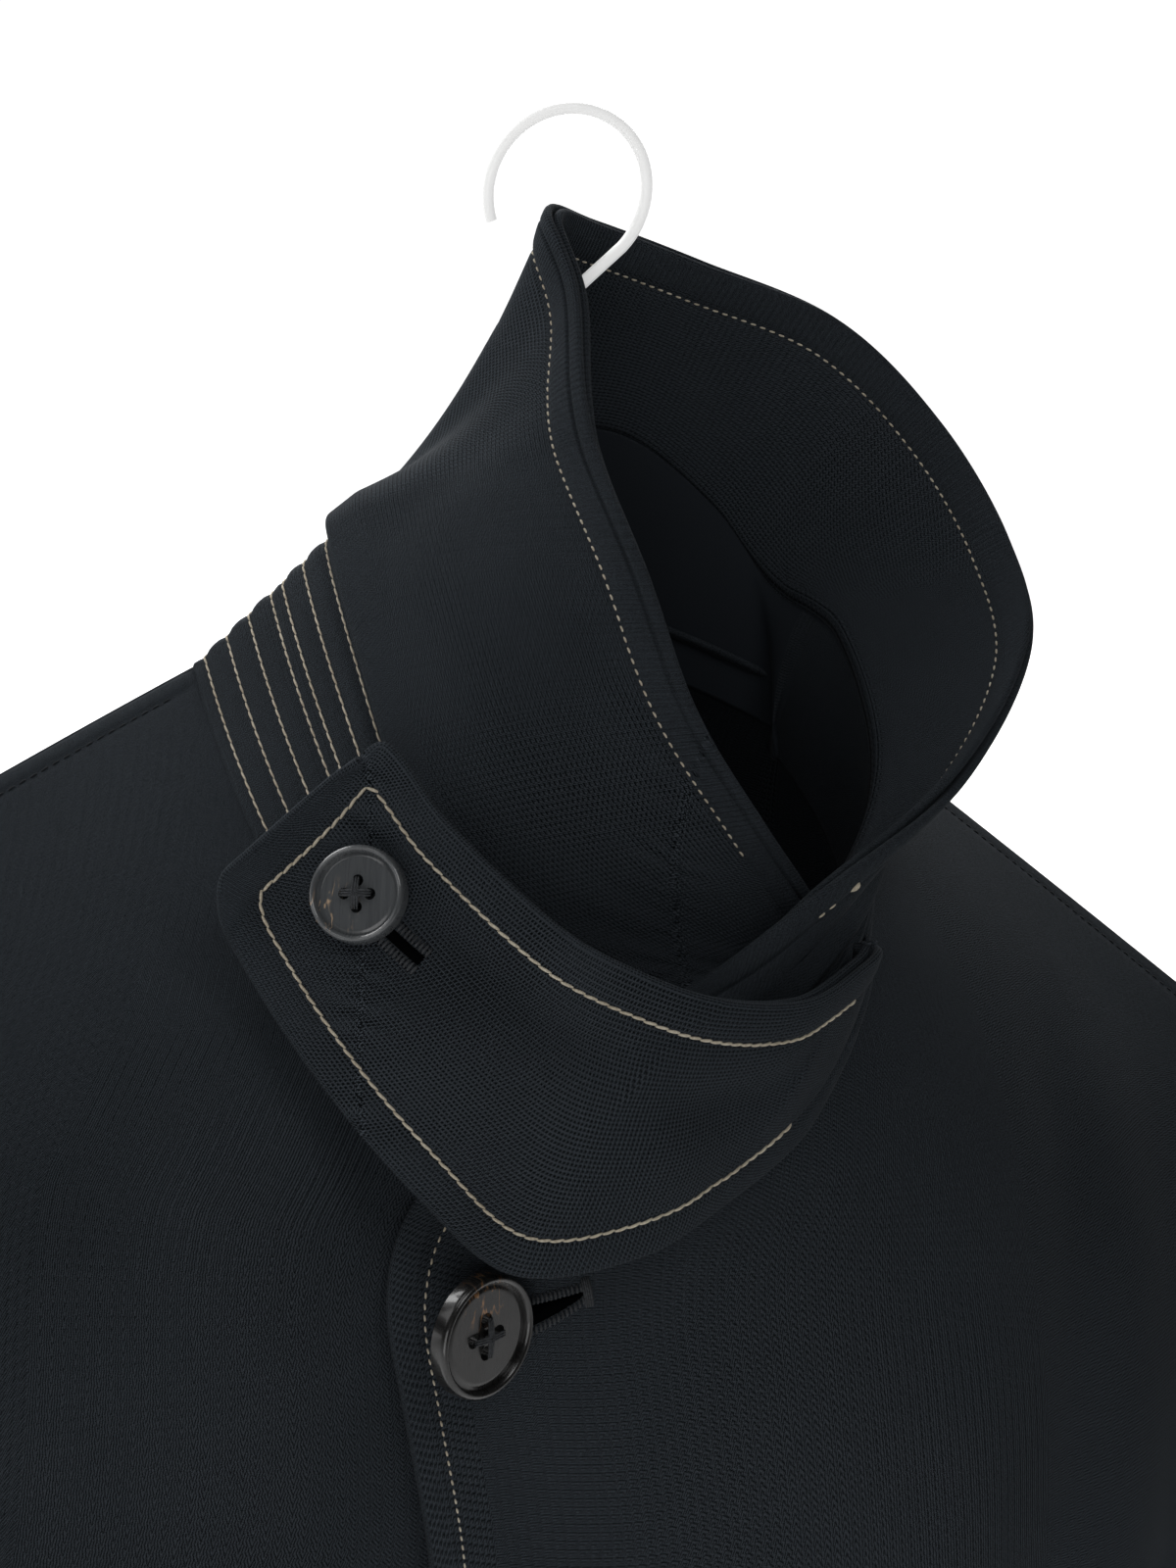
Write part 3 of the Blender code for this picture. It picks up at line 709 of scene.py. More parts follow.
# Past these shares the tab's inner face shows, and its edge is full on that face too
TAB_INNER_FROM = 0.3
TAB_INNER_OVER = 0.3

# Stitch lines by their distance from an edge, and the stand's rows by height
LEAF_STITCH = 9.0
TAB_STITCH = 8.2
FRONT_STITCH = 8.0
FRONT_ROLL = 0.35
SHOULDER_STITCH = 5.5
SHOULDER_ROLL = 0.3
OVER_SHOULDER_DENT = 0.25
UNDER_SHOULDER_DENT = 0.3
STAND_STITCHES = (2.5, 9, 15.5, 22, 25.5, 31.5, 38, 44.5)
STAND_SIZE = 48
STAND_DENT = 0.9
STAND_DENT_WIDTH = 1.4
STAND_PLUMP = 0.4

# The stand's inner face hangs past the neck seam by degrees round the neck, and bulges in at the right
FACING_DROP = 14
FACING_FROM = -110
FACING_TO = 165
FACING_EASE = 40
FACING_BULGE = 9
BULGE_ANGLE = 84
BULGE_SPREAD = 13

# Creases and waves fade in below a panel's top edge and in from its sides
TOP_PLAIN = 4
TOP_FADE = 30
SIDE_FADE = 25
PANEL_WAVE = 0.35
SLEEVE_WAVE = 0.3

# A distance past every edge
FAR_OFF = 1e3

# Leaf creases by length from its left end and by height
LEAF_CREASES = (
    Crease(150, 10, 175, 60, 9, -1.2),
    Crease(195, 8, 205, 48, 7, 0.9),
    Crease(330, 10, 345, 45, 10, -1.0),
    Crease(102, 57, 75, 41, 5, -0.9),
)

# Tab creases by length from its buttoned end and by width
TAB_CREASES = (
    Crease(85, 10, 130, 44, 5, 0.8),
    Crease(100, 4, 150, 40, 6, -0.9),
    Crease(125, 6, 165, 30, 5, 0.7),
    Crease(10, 15, 98, 17, 6, -3.0),
    Crease(98, 24, 150, 20, 8, -2.8),
)

# Front creases by x and z
LEFT_CREASES = (
    Crease(96, -70, 104, -300, 14, 2.0),
    Crease(128, -62, 140, -330, 11, -2.4),
    Crease(152, -80, 166, -360, 13, 2.6),
    Crease(180, -110, 188, -400, 10, -1.8),
    Crease(30, -180, 60, -330, 22, -2.0),
    Crease(60, -420, 52, -760, 24, 3.0),
    Crease(205, -330, 120, -420, 18, -2.5),
)
RIGHT_CREASES = (
    Crease(-110, -70, -96, -230, 16, -1.6),
    Crease(-150, -90, -150, -320, 15, 2.0),
    Crease(-180, -120, -190, -400, 12, -2.2),
    Crease(-205, -330, -130, -430, 18, -2.4),
    Crease(-70, -360, -80, -700, 26, 2.6),
)
BACK_CREASES = (
    Crease(-120, -60, -150, -330, 18, -2.2),
    Crease(-60, -90, -84, -420, 22, 2.4),
    Crease(10, -70, 22, -380, 20, -1.8),
    Crease(90, -80, 110, -350, 17, 2.2),
    Crease(150, -120, 172, -450, 15, -2.4),
    Crease(-200, -330, -90, -410, 20, -2.6),
    Crease(205, -320, 110, -420, 18, -2.3),
    Crease(60, -520, 74, -850, 24, 2.8),
)

# Sleeve creases by turn round the sleeve, in millimetres from the shoulder line, and by length
SLEEVE_CREASES = (
    Crease(60, 70, 150, 130, 12, -2.4),
    Crease(50, 260, 130, 300, 11, -2.6),
    Crease(70, 300, 150, 322, 9, 2.0),
    Crease(250, 250, 330, 300, 12, -2.4),
    Crease(230, 120, 300, 60, 13, 2.2),
    Crease(90, 430, 150, 470, 12, -2.0),
    Crease(260, 450, 330, 420, 12, 2.2),
)


def shares(*stretches):
    """Places along 0 to 1 from stretches of (end, cells)."""
    places = [0.0]
    for end, cells in stretches:
        places.extend(np.linspace(places[-1], end, cells + 1)[1:])
    return np.array(places)


PANEL_ROWS = shares((0.12, 40), (0.45, 80), (1, 130))


def soft_waves(a, b, height):
    """Slow unevenness of hung cloth: two crossing sets of waves."""
    slow = np.sin(a / 31 + 1.3 * np.sin(b / 47)) + 0.7 * np.sin(b / 38 + 0.9 * np.sin(a / 53 + 2))
    return height * slow


# Stitching

Ring = namedtuple("Ring", "along radius lift")
STITCH_RINGS = (
    Ring(-0.5, 0.45, -0.5),
    Ring(-0.34, 0.8, 0.2),
    Ring(-0.12, 1.0, 0.55),
    Ring(0.12, 1.0, 0.55),
    Ring(0.34, 0.8, 0.2),
    Ring(0.5, 0.45, -0.5),
)
STITCH_SIDES = 6


def thread_mesh(name, centres, alongs, normals, lengths, radius, look):
    """Joined short threads, each lying along its own direction and arching out of the cloth."""
    turns = 2 * np.pi * np.arange(STITCH_SIDES) / STITCH_SIDES
    sides = unit(np.cross(normals, alongs))
    points = []
    for ring in STITCH_RINGS:
        centre = centres + alongs * (lengths * ring.along)[:, None] + normals * (radius * ring.lift)
        reach = radius * ring.radius
        for turn in turns:
            points.append(centre + reach * (math.cos(turn) * sides + math.sin(turn) * normals))
    rings = len(STITCH_RINGS)
    each = rings * STITCH_SIDES
    template = []
    for ring in range(rings - 1):
        for side in range(STITCH_SIDES):
            after = (side + 1) % STITCH_SIDES
            low, high = ring * STITCH_SIDES, (ring + 1) * STITCH_SIDES
            template.append((low + side, high + side, high + after, low + after))
    caps = [tuple(range(STITCH_SIDES)), tuple(range(each - 1, each - STITCH_SIDES - 1, -1))]
    faces = []
    for start in range(0, each * len(centres), each):
        faces.extend([tuple(start + corner for corner in face) for face in template + caps])
    return add_mesh(name, np.stack(points, 1).reshape(-1, 3), faces, [look])


def resampled(places, normals, pitch):
    """Centres, directions and normals at an even pitch along a run."""
    lengths = np.concatenate(((0,), np.cumsum(np.linalg.norm(np.diff(places, axis=0), axis=1))))
    marks = np.arange(pitch / 2, lengths[-1], pitch)

    def along(values, at):
        return np.stack([np.interp(at, lengths, values[:, axis]) for axis in range(3)], -1)

    directions = unit(along(places, marks + pitch / 4) - along(places, marks - pitch / 4))
    return along(places, marks), directions, unit(along(normals, marks))


# Kinds of stitch: pitch and thread radius in millimetres, the share of the pitch that shows, and the slant
Stitch = namedtuple("Stitch", "pitch radius fill slant")
DASH_STITCH = Stitch(2.6, 0.25, 0.6, 0.1)
ROPE_STITCH = Stitch(2.9, 0.36, 1.16, 0.14)
ROW_STITCH = Stitch(3.2, 0.28, 1.1, 0.08)
SEAM_STITCH = Stitch(3.0, 0.26, 0.7, 0.1)


def sew(name, runs, look, stitch):
    """Rows of slanted stitches along runs of places and normals."""
    rows = [resampled(places, normals, stitch.pitch) for places, normals in runs]
    centres, alongs, normals = (np.concatenate(column) for column in zip(*rows))
    alongs = unit(alongs + stitch.slant * np.cross(normals, alongs))
    lengths = np.full(len(centres), stitch.pitch * stitch.fill)
    return thread_mesh(name, centres, alongs, normals, lengths, stitch.radius, look)


def rounded(places, window):
    """A path in shares with its corners rounded by averaging over a window."""
    ends = np.concatenate((np.repeat(places[:1], window, 0), places, np.repeat(places[-1:], window, 0)))
    kernel = np.ones(2 * window + 1) / (2 * window + 1)
    return np.stack([np.convolve(column, kernel, "valid") for column in ends.T], -1)


# Shader values

class Value:
    """A shader socket: arithmetic on it adds Math nodes."""

    def __init__(self, look, socket):
        self.look, self.socket = look, socket

    def out(self, index):
        """Another output of the same node."""
        return Value(self.look, self.socket.node.outputs[index])

    def __add__(self, other):
        return self.look.math("ADD", self, other)

    def __sub__(self, other):
        return self.look.math("SUBTRACT", self, other)

    def __mul__(self, other):
        return self.look.math("MULTIPLY", self, other)

    def __radd__(self, other):
        return self.look.math("ADD", other, self)

    def __rsub__(self, other):
        return self.look.math("SUBTRACT", other, self)

    def __rmul__(self, other):
        return self.look.math("MULTIPLY", other, self)


class Look:
    """A material with one Principled shader, fed by values."""

    def __init__(self, name):
        self.material = bpy.data.materials.new(name)
        self.material.use_nodes = True
        self.tree = self.material.node_tree
        self.shader = self.tree.nodes["Principled BSDF"]

    def feed(self, socket, value):
        if isinstance(value, Value):
            self.tree.links.new(value.socket, socket)
        else:
            socket.default_value = value

    def node(self, kind, settings, sockets, output=0):
        """Any node: its settings are set first, then its sockets; the value is one of its outputs."""
        made = self.tree.nodes.new(kind)
        for key, value in settings.items():
            setattr(made, key, value)
        for key, value in sockets.items():
            self.feed(made.inputs[key], value)
        return Value(self, made.outputs[output])

    def math(self, operation, *values):
        return self.node("ShaderNodeMath", {"operation": operation}, dict(enumerate(values)))

    def sin(self, value):
        return self.math("SINE", value)

    def step(self, value, low, high):
        """Smooth step from 0 at low to 1 at high."""
        settings = {"interpolation_type": "SMOOTHSTEP"}
        return self.node("ShaderNodeMapRange", settings, {"Value": value, "From Min": low, "From Max": high})

    def noise(self, vector, scale, detail=2.0):
        return self.node("ShaderNodeTexNoise", {}, {"Vector": vector, "Scale": scale, "Detail": detail})

    def stretched(self, vector, scale):
        return self.node("ShaderNodeVectorMath", {"operation": "MULTIPLY"}, {0: vector, 1: scale})

    def blend(self, share, first, second):
        """Colours mixed by a share."""
        return self.node("ShaderNodeMix", {"data_type": "RGBA"}, {0: share, 6: first, 7: second}, output=2)

    def bump(self, height, distance):
        return self.node("ShaderNodeBump", {}, {"Height": height, "Distance": distance, "Strength": 1.0})

    def place(self):
        """Object coordinates, in metres."""
        return self.node("ShaderNodeTexCoord", {}, {}, output=3)

    def set(self, **values):
        """Feeds the Principled shader's sockets; an underscore stands for a space."""
        for key, value in values.items():
            self.feed(self.shader.inputs[key.replace("_", " ")], value)
        return self.material


def colour(red, green, blue):
    return (red, green, blue, 1.0)


# Weave: thread spacing and how far threads wander, in millimetres, and how fast they wander
WEAVE = 0.56
WANDER = 1.0
WANDER_SCALE = 0.3

# Tone of a thread without its painted pore shade and nap, the share of slow wear, and the scales of nap and
# wear
THREAD_TONE = 0.42
WEAR_SHARE = 0.15
NAP_SCALE = 2600.0
WEAR_SCALE = 16.0


def wool_look(name, lit, shaded_tone, nap_height=0.0001, nap=0.6, pore_shade=0.6, threads=0.6):
    """Fine plain-weave wool with a short nap: the weave's relief is painted into the colour between a lit
    tone and a shaded tone, as painted shade in the pores between threads and painted light and shade on the
    threads over and under.
    """
    look = Look(name)
    cloth = look.node("ShaderNodeUVMap", {"uv_map": "cloth"}, {})
    parts = look.node("ShaderNodeSeparateXYZ", {}, {0: cloth})
    drift_noise = look.noise(look.stretched(cloth, (WANDER_SCALE, WANDER_SCALE, 0)), 1.0, 1.0)
    drift = look.node("ShaderNodeSeparateXYZ", {}, {0: drift_noise.out(1)})
    half_turn = math.pi / WEAVE
    along = look.sin((parts + WANDER * drift) * half_turn)
    across = look.sin((parts.out(1) + WANDER * drift.out(1)) * half_turn)
    # Painted light and shade of the weave's relief: pores between threads are darkened, threads over and
    # under are lightened and darkened
    pore = (1.0 - along * along) * (1.0 - across * across)
    over = along * across
    fuzz = look.noise(look.place(), NAP_SCALE, 2.0)
    wear = look.noise(look.place(), WEAR_SCALE, 3.0)
    pore_shade_mask = look.step(pore, 0.1, 0.8)
    share = THREAD_TONE - pore_shade * pore_shade_mask + threads * over + nap * (fuzz - 0.5) + WEAR_SHARE * (wear - 0.5)
    share = look.math("MINIMUM", look.math("MAXIMUM", share, 0.0), 1.0)
    return look.set(
        Base_Color=look.blend(share, shaded_tone, lit),
        Roughness=0.95 - 0.1 * share,
        Normal=look.bump(fuzz, nap_height),
        Sheen_Weight=0.01,
        Sheen_Roughness=0.4,
        Specular_IOR_Level=0.05,
    )


def thread_look(name, light, dark):
    """Twisted sewing thread, a little uneven along its length."""
    look = Look(name)
    twist = look.noise(look.place(), 1800.0, 2.0)
    slow = look.noise(look.place(), 60.0, 2.0)
    share = look.step(0.6 * twist + 0.4 * slow, 0.3, 0.7)
    return look.set(
        Base_Color=look.blend(share, dark, light),
        Roughness=0.8,
        Normal=look.bump(twist, 0.00006),
        Specular_IOR_Level=0.3,
    )


def horn_look(name, centre, rotation, horn):
    """Polished horn: a dark ground with a fine grain, and thin pale lines and flecks round one spot."""
    look = Look(name)
    settings = {"vector_type": "TEXTURE"}
    sockets = {"Vector": look.place(), "Location": centre, "Rotation": rotation}
    local = look.node("ShaderNodeMapping", settings, sockets)
    settings = {"operation": "DISTANCE"}
    spot_at = look.node("ShaderNodeVectorMath", settings, {0: local, 1: horn.spot}, output=1)
    clouds = look.noise(local, 260.0, 2.0)
    near = 1.0 - look.step(spot_at + 0.004 * (clouds - 0.5), 0.3 * horn.reach, horn.reach)
    grain = look.noise(look.stretched(local, (1500.0, 90.0, 200.0)), 1.0, 2.0)
    layers = look.noise(look.stretched(local, (330.0, 95.0, 120.0)), 1.0, 2.0)
    line = 1.0 - look.step(look.math("ABSOLUTE", layers - 0.5), 0.006, 0.03)
    fleck = look.step(look.noise(look.stretched(local, (700.0, 320.0, 300.0)), 1.0, 2.0), 0.58, 0.66)
    lines, flecks = line * look.step(clouds, 0.4, 0.5), fleck * look.step(clouds, 0.5, 0.58)
    pale = near * look.math("MAXIMUM", lines, flecks)
    ground = look.blend(look.step(grain, 0.3, 0.7), horn.dark, horn.light)
    return look.set(
        Base_Color=look.blend(pale, ground, horn.streak),
        Roughness=0.2 + 0.16 * grain,
        Normal=look.bump(grain, 0.00001),
        Coat_Weight=0.4 + 0.3 * clouds,
        Coat_Roughness=0.1,
    )


# Painted glow of the wire: it emits light though it is no lamp, standing in for the glare of the bright
# backdrop
PAINTED_GLOW_COLOUR = colour(0.9, 0.9, 0.9)
PAINTED_GLOW_STRENGTH = 0.4


def enamel_look():
    """White enamelled wire with slow unevenness, and a painted glow."""
    look = Look("white_enamel")
    slow = look.noise(look.place(), 240.0, 2.0)
    return look.set(
        Base_Color=look.blend(slow, colour(0.88, 0.88, 0.87), colour(0.94, 0.94, 0.93)),
        Roughness=0.32 + 0.16 * slow,
        Normal=look.bump(slow, 0.00004),
        Coat_Weight=0.2,
        # Painted light: the wire glows
        Emission_Color=PAINTED_GLOW_COLOUR,
        Emission_Strength=PAINTED_GLOW_STRENGTH,
    )


def plain_look(name, tone, rough):
    """Flat finish without shine."""
    look = Look(name)
    slow = look.noise(look.place(), 400.0, 2.0)
    return look.set(Base_Color=tone, Roughness=rough - 0.1 * slow, Specular_IOR_Level=0.0)


# Both cloths carry the painted light and shade of their weave in their colour, the lining only faintly
wool = wool_look("dark_wool", colour(0.075, 0.088, 0.103), colour(0.002, 0.0025, 0.003))
collar_lining = wool_look(
    "smooth_collar_lining",
    colour(0.036, 0.042, 0.05),
    colour(0.012, 0.0145, 0.018),
    nap_height=0.00002,
    nap=0.2,
    pore_shade=0.1,
    threads=0.1,
)
cream_thread = thread_look("cream_thread", colour(0.68, 0.62, 0.5), colour(0.4, 0.34, 0.25))
dark_thread = thread_look("dark_thread", colour(0.016, 0.019, 0.023), colour(0.006, 0.007, 0.009))
purl_thread = thread_look("purl_thread", colour(0.06, 0.064, 0.07), colour(0.018, 0.02, 0.022))
# Painted shadow: a near-black sheet stands for the shade inside the buttonhole slits
painted_slit_shadow = plain_look("slit_shadow", colour(0.0015, 0.0017, 0.002), 0.95)
enamel = enamel_look()


# Cloth pieces

def panel_cloth(point, us, flip, creases):
    """A body panel with its creases, its weave hanging straight down and even round to the side seam."""
    cloth = Cloth(point, us, PANEL_ROWS, PANEL_CLOTH, grow=1, flip=flip)
    x, y, z = np.moveaxis(cloth.middle, -1, 0)
    width = np.zeros_like(x)
    width[:, 1:] = np.cumsum(np.hypot(np.diff(x), np.diff(y)), axis=1)
    outward = x * np.sign(x[:, -1:] - x[:, :1])
    centre = np.argmin(np.abs(x), axis=1)[:, None]
    width += np.take_along_axis(outward - width, centre, 1)
    cloth.grain = np.stack((width, cloth.across - cloth.across[-1:]), -1)
    start, end, top, _ = cloth.edge_gaps()
    fade = ease((top - TOP_PLAIN) / TOP_FADE) * ease(np.minimum(start, end) / SIDE_FADE)
    cloth.push((crease_depth(creases, x, z) + soft_waves(x, z, PANEL_WAVE)) * fade)
    return cloth


def make_left_front():
    us = shares((0.012, 5), (0.04, 8), (0.5, 58), (1, 44))
    cloth = panel_cloth(front_panel(1), us, True, LEFT_CREASES)
    front, _, top, _ = cloth.edge_gaps()
    shoulder = np.where(cloth.u >= FRONT_NECK_SHARE, top, FAR_OFF)
    relief = stitch_dent(front, FRONT_STITCH) + edge_roll(front, FRONT_STITCH, FRONT_ROLL)
    cloth.wall(relief + stitch_dent(shoulder, SHOULDER_STITCH, OVER_SHOULDER_DENT))
    return cloth


def make_right_front():
    us = shares((0.03, 6), (0.5, 50), (1, 50))
    cloth = panel_cloth(front_panel(-1), us, False, RIGHT_CREASES)
    _, _, top, _ = cloth.edge_gaps()
    shoulder = np.where(cloth.u >= FRONT_NECK_SHARE, top, FAR_OFF)
    roll = edge_roll(shoulder, SHOULDER_STITCH, SHOULDER_ROLL)
    cloth.wall(stitch_dent(shoulder, SHOULDER_STITCH, UNDER_SHOULDER_DENT) + roll)
    return cloth


def make_back():
    half = 0.5 * BACK_NECK_SHARE
    us = shares((0.5 - half, 50), (0.5, 28), (0.5 + half, 28), (1, 50))
    cloth = panel_cloth(back_panel, us, False, BACK_CREASES)
    cloth.wall()
    return cloth


def make_sleeve(side):
    us, vs = shares((1, 80)), shares((1, 140))
    cloth = Cloth(sleeve(side), us, vs, PANEL_CLOTH, grow=1, flip=side < 0, tube=True)
    waves = soft_waves(cloth.across, 0, SLEEVE_WAVE)
    creases = crease_depth(SLEEVE_CREASES, cloth.along, cloth.across)
    cloth.push((creases + waves) * ease(cloth.across / TOP_FADE))
    cloth.wall()
    return cloth


def make_stand():
    cloth = Cloth(collar_stand, shares((1, 300)), shares((1, 48)), STAND_CLOTH, flip=True)
    height = cloth.v * STAND_SIZE
    relief = sum(stitch_dent(height, line, STAND_DENT, STAND_DENT_WIDTH) for line in STAND_STITCHES)
    cloth.wall(relief + STAND_PLUMP)
    angle = collar_angle(cloth.u)
    from_left = ease((angle - FACING_FROM) / FACING_EASE)
    to_right = ease((FACING_TO - angle) / FACING_EASE)
    drop = FACING_DROP * from_left * to_right * (1 - cloth.v) ** 2
    bulge = FACING_BULGE * np.exp(-(((angle - BULGE_ANGLE) / BULGE_SPREAD) ** 2)) * (1 - cloth.v**2)
    cloth.inner = cloth.inner - cloth.normal * bulge[..., None] - spot(0, 0, drop)
    cloth.lined = angle[:-1, :-1] < BULGE_ANGLE
    return cloth


def full_edge(gap, line):
    """A stitched edge: the dent of its stitch line and the fullness between that line and the rim."""
    return stitch_dent(gap, line) + edge_roll(gap + EDGE_FULL, line + EDGE_FULL, EDGE_HEIGHT)


def make_leaf():
    cloth = Cloth(collar_leaf, shares((1, 320)), shares((0.88, 56), (1, 36)), LEAF_CLOTH, flip=True)
    rim_gap = cloth.edge_gaps()[3]
    cloth.push(crease_depth(LEAF_CREASES, cloth.along, cloth.across) * ease(rim_gap / RIM_PLAIN))
    start, end, _, rim_gap = cloth.edge_gaps()
    relief = full_edge(np.minimum(rim_gap, np.minimum(start, end)), LEAF_STITCH)
    rise = np.maximum(cloth.v - KNEE_SHARE, 0)
    fold = ease((cloth.v / KNEE_SHARE - FOLD_START) / (1 - FOLD_START))
    over_stand = FOLD_IN * fold * np.exp(-((rise / FOLD_FADE) ** 2))
    rolled = ease((RIM_SEAM_TO - collar_angle(cloth.u)) / TURN_OVER)
    seam = stitch_dent(rim_gap, RIM_SEAM_IN, RIM_SEAM_DEPTH, RIM_SEAM_WIDTH) * rolled
    cloth.wall(relief + seam, relief + over_stand)
    return cloth


def make_tab():
    cloth = Cloth(throat_tab, shares((1, 180)), shares((1, 60)), TAB_CLOTH, flip=True)
    cloth.push(crease_depth(TAB_CREASES, cloth.along, cloth.across))
    relief = full_edge(np.minimum.reduce(cloth.edge_gaps()), TAB_STITCH)
    cloth.wall(relief, np.maximum(relief, 0) * ease((cloth.u - TAB_INNER_FROM) / TAB_INNER_OVER))
    return cloth


left_front = make_left_front()
right_front = make_right_front()
back = make_back()
sleeves = {1: make_sleeve(1), -1: make_sleeve(-1)}
stand = make_stand()
leaf = make_leaf()
tab = make_tab()

pieces = {
    "coat_front_left": (left_front, [wool], ROUND_EDGE, "front_left"),
    "coat_front_right": (right_front, [wool], ROUND_EDGE, "front_right"),
    "coat_back": (back, [wool], ROUND_EDGE, "back"),
    "coat_sleeve_left": (sleeves[1], [wool], ROUND_EDGE, "sleeve_left"),
    "coat_sleeve_right": (sleeves[-1], [wool], ROUND_EDGE, "sleeve_right"),
    "coat_collar_stand": (stand, [wool, collar_lining], ROUND_EDGE, "collar_stand"),
    "coat_collar_leaf": (leaf, [wool], DOUBLE_EDGE, "collar_leaf"),
    "coat_throat_tab": (tab, [wool], DOUBLE_EDGE, "throat_tab"),
}

# Cut sizes in metres: width, length and flat area of each piece
Cut = namedtuple("Cut", "width length area")
CUTS = {
    "coat_front_left": Cut(0.36, 0.92, 0.28),
    "coat_front_right": Cut(0.36, 0.92, 0.29),
    "coat_back": Cut(0.58, 0.94, 0.46),
    "coat_sleeve_left": Cut(0.40, 0.66, 0.20),
    "coat_sleeve_right": Cut(0.40, 0.66, 0.20),
    "coat_collar_stand": Cut(0.50, 0.06, 0.024),
    "coat_collar_leaf": Cut(0.56, 0.08, 0.036),
    "coat_throat_tab": Cut(0.21, 0.07, 0.0115),
}


def keep(item, slot, *nodes):
    """The piece rides on the coat and hides the solids that it stands for; its slot is not used."""
    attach(item, "root")
    if nodes:
        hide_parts(*nodes)
    return item


for name, (cloth, looks, edge, node) in pieces.items():
    keep(cloth.build(name, looks, edge), "wool_cloth", node)


# Stitch lines

# Angles round the neck between which the leaf's outer and inner faces are topstitched
LEAF_OUTER_SEWN = (-158, 112)
LEAF_INNER_SEWN = (-186, 196)

# The stand's rows leave its first columns free and end under the right leaf's end
STAND_FREE = 3
STAND_SEWN_TO = 122

# Shares along the tab at which the topstitch of each edge runs out under the leaf
TAB_UPPER_SEWN = 0.93
TAB_LOWER_SEWN = 0.9

# Grid places over which the tab's topstitch turns its corners
TAB_TURN_WINDOW = 3

# Rows of the left front beside its topstitch, and where the shoulder's stitching starts
FRONT_SEWN = slice(4, -1)
SHOULDER_SEWN_FROM = FRONT_NECK_SHARE + 0.01


def leaf_run(side, first, last):
    """Topstitch along the leaf's rim on its outer or inner face, between two angles round the neck."""
    v = leaf.inset_row(LEAF_STITCH, True)
    angle = collar_angle(leaf.us)
    sewn = (angle > first) & (angle < last)
    return leaf.at(leaf.us[sewn], v[sewn], side)


def tab_run():
    """Topstitch round the tab: along its upper edge, round the buttoned end, back along its lower edge."""
    upper, lower = tab.inset_row(TAB_STITCH, False), tab.inset_row(TAB_STITCH, True)
    end = tab.inset_column(TAB_STITCH, False)
    middle = len(tab.vs) // 2
    start = np.searchsorted(tab.us, end[middle])
    rows = slice(np.searchsorted(tab.vs, upper[start]), np.searchsorted(tab.vs, lower[start]))
    upper_last, lower_last = (np.searchsorted(tab.us, share) for share in (TAB_UPPER_SEWN, TAB_LOWER_SEWN))
    path = np.concatenate((
        np.stack((tab.us, upper), -1)[upper_last:start:-1],
        np.stack((end, tab.vs), -1)[rows],
        np.stack((tab.us, lower), -1)[start + 1:lower_last],
    ))
    return tab.at(*rounded(path, TAB_TURN_WINDOW).T)


def stand_run(line):
    """One row of quilting round the stand."""
    free = stand.us[STAND_FREE:]
    sewn = free[collar_angle(free) < STAND_SEWN_TO]
    return stand.at(sewn, np.full(len(sewn), line / STAND_SIZE))


def front_run():
    """Topstitch down the left front's edge."""
    u = left_front.inset_column(FRONT_STITCH, False)
    return left_front.at(u[FRONT_SEWN], left_front.vs[FRONT_SEWN])


def shoulder_run(cloth):
    """Stitching beside a front's shoulder seam."""
    v = cloth.inset_row(SHOULDER_STITCH, False)
    on_shoulder = cloth.us > SHOULDER_SEWN_FROM
    return cloth.at(cloth.us[on_shoulder], v[on_shoulder])


# Stitches on the right leaf that hold the tab's end: their ends by shares on the leaf, and thread radius
Tack = namedtuple("Tack", "from_u from_v to_u to_v radius")
TACKS = (
    Tack(0.882, 0.7, 0.879, 0.7, 0.28),
    Tack(0.877, 0.7, 0.874, 0.7, 0.24),
    Tack(0.868, 0.71, 0.866, 0.77, 0.6),
)


def tack(name, row):
    """One stitch over the leaf's outer face."""
    ends, normals = leaf.at(np.array((row.from_u, row.to_u)), np.array((row.from_v, row.to_v)))
    run = ends[1:] - ends[:1]
    lengths = np.linalg.norm(run, axis=1)
    middle = ends.mean(0, keepdims=True)
    return thread_mesh(name, middle, unit(run), normals[:1], lengths, row.radius, cream_thread)


leaf_runs = [leaf_run(1, *LEAF_OUTER_SEWN), leaf_run(-1, *LEAF_INNER_SEWN)]
stand_runs = [stand_run(line) for line in STAND_STITCHES]
shoulder_runs = [shoulder_run(left_front), shoulder_run(right_front)]
sewing = {
    "coat_collar_leaf": sew("leaf_topstitch", leaf_runs, cream_thread, DASH_STITCH),
    "coat_throat_tab": sew("tab_topstitch", [tab_run()], cream_thread, ROPE_STITCH),
    "coat_collar_stand": sew("stand_stitching", stand_runs, cream_thread, ROW_STITCH),
    "coat_front_left": sew("front_topstitch", [front_run()], cream_thread, DASH_STITCH),
    "coat_front_right": sew("shoulder_topstitch", shoulder_runs, dark_thread, SEAM_STITCH),
}
for item in sewing.values():
    keep(item, "wool_cloth")
for index, row in enumerate(TACKS):
    keep(tack(f"tab_tack_{index + 1}", row), "wool_cloth")


# Buttonholes

# Purl stitches along the lips, and the bar of threads past the slit's end
PURL_PITCH = 1.05
PURL_LENGTH = 2.4
PURL_THREAD = 0.36
PURL_LIFT = 0.15
PURL_STEPS = 60
BAR_LENGTH = 7.5
BAR_THREADS = 4
BAR_REACH = (0.5, 2)

# The slit's half width, and how its lower lip is drawn open towards the button
LIP_GAP = 0.35
DRAWN_OPEN = 4.2
NEARLY_SHUT = 0.2
OPEN_SHARE = 0.45
OPEN_POWER = 0.8
SLIT_LIFT = 0.2
SLIT_STEPS = 24

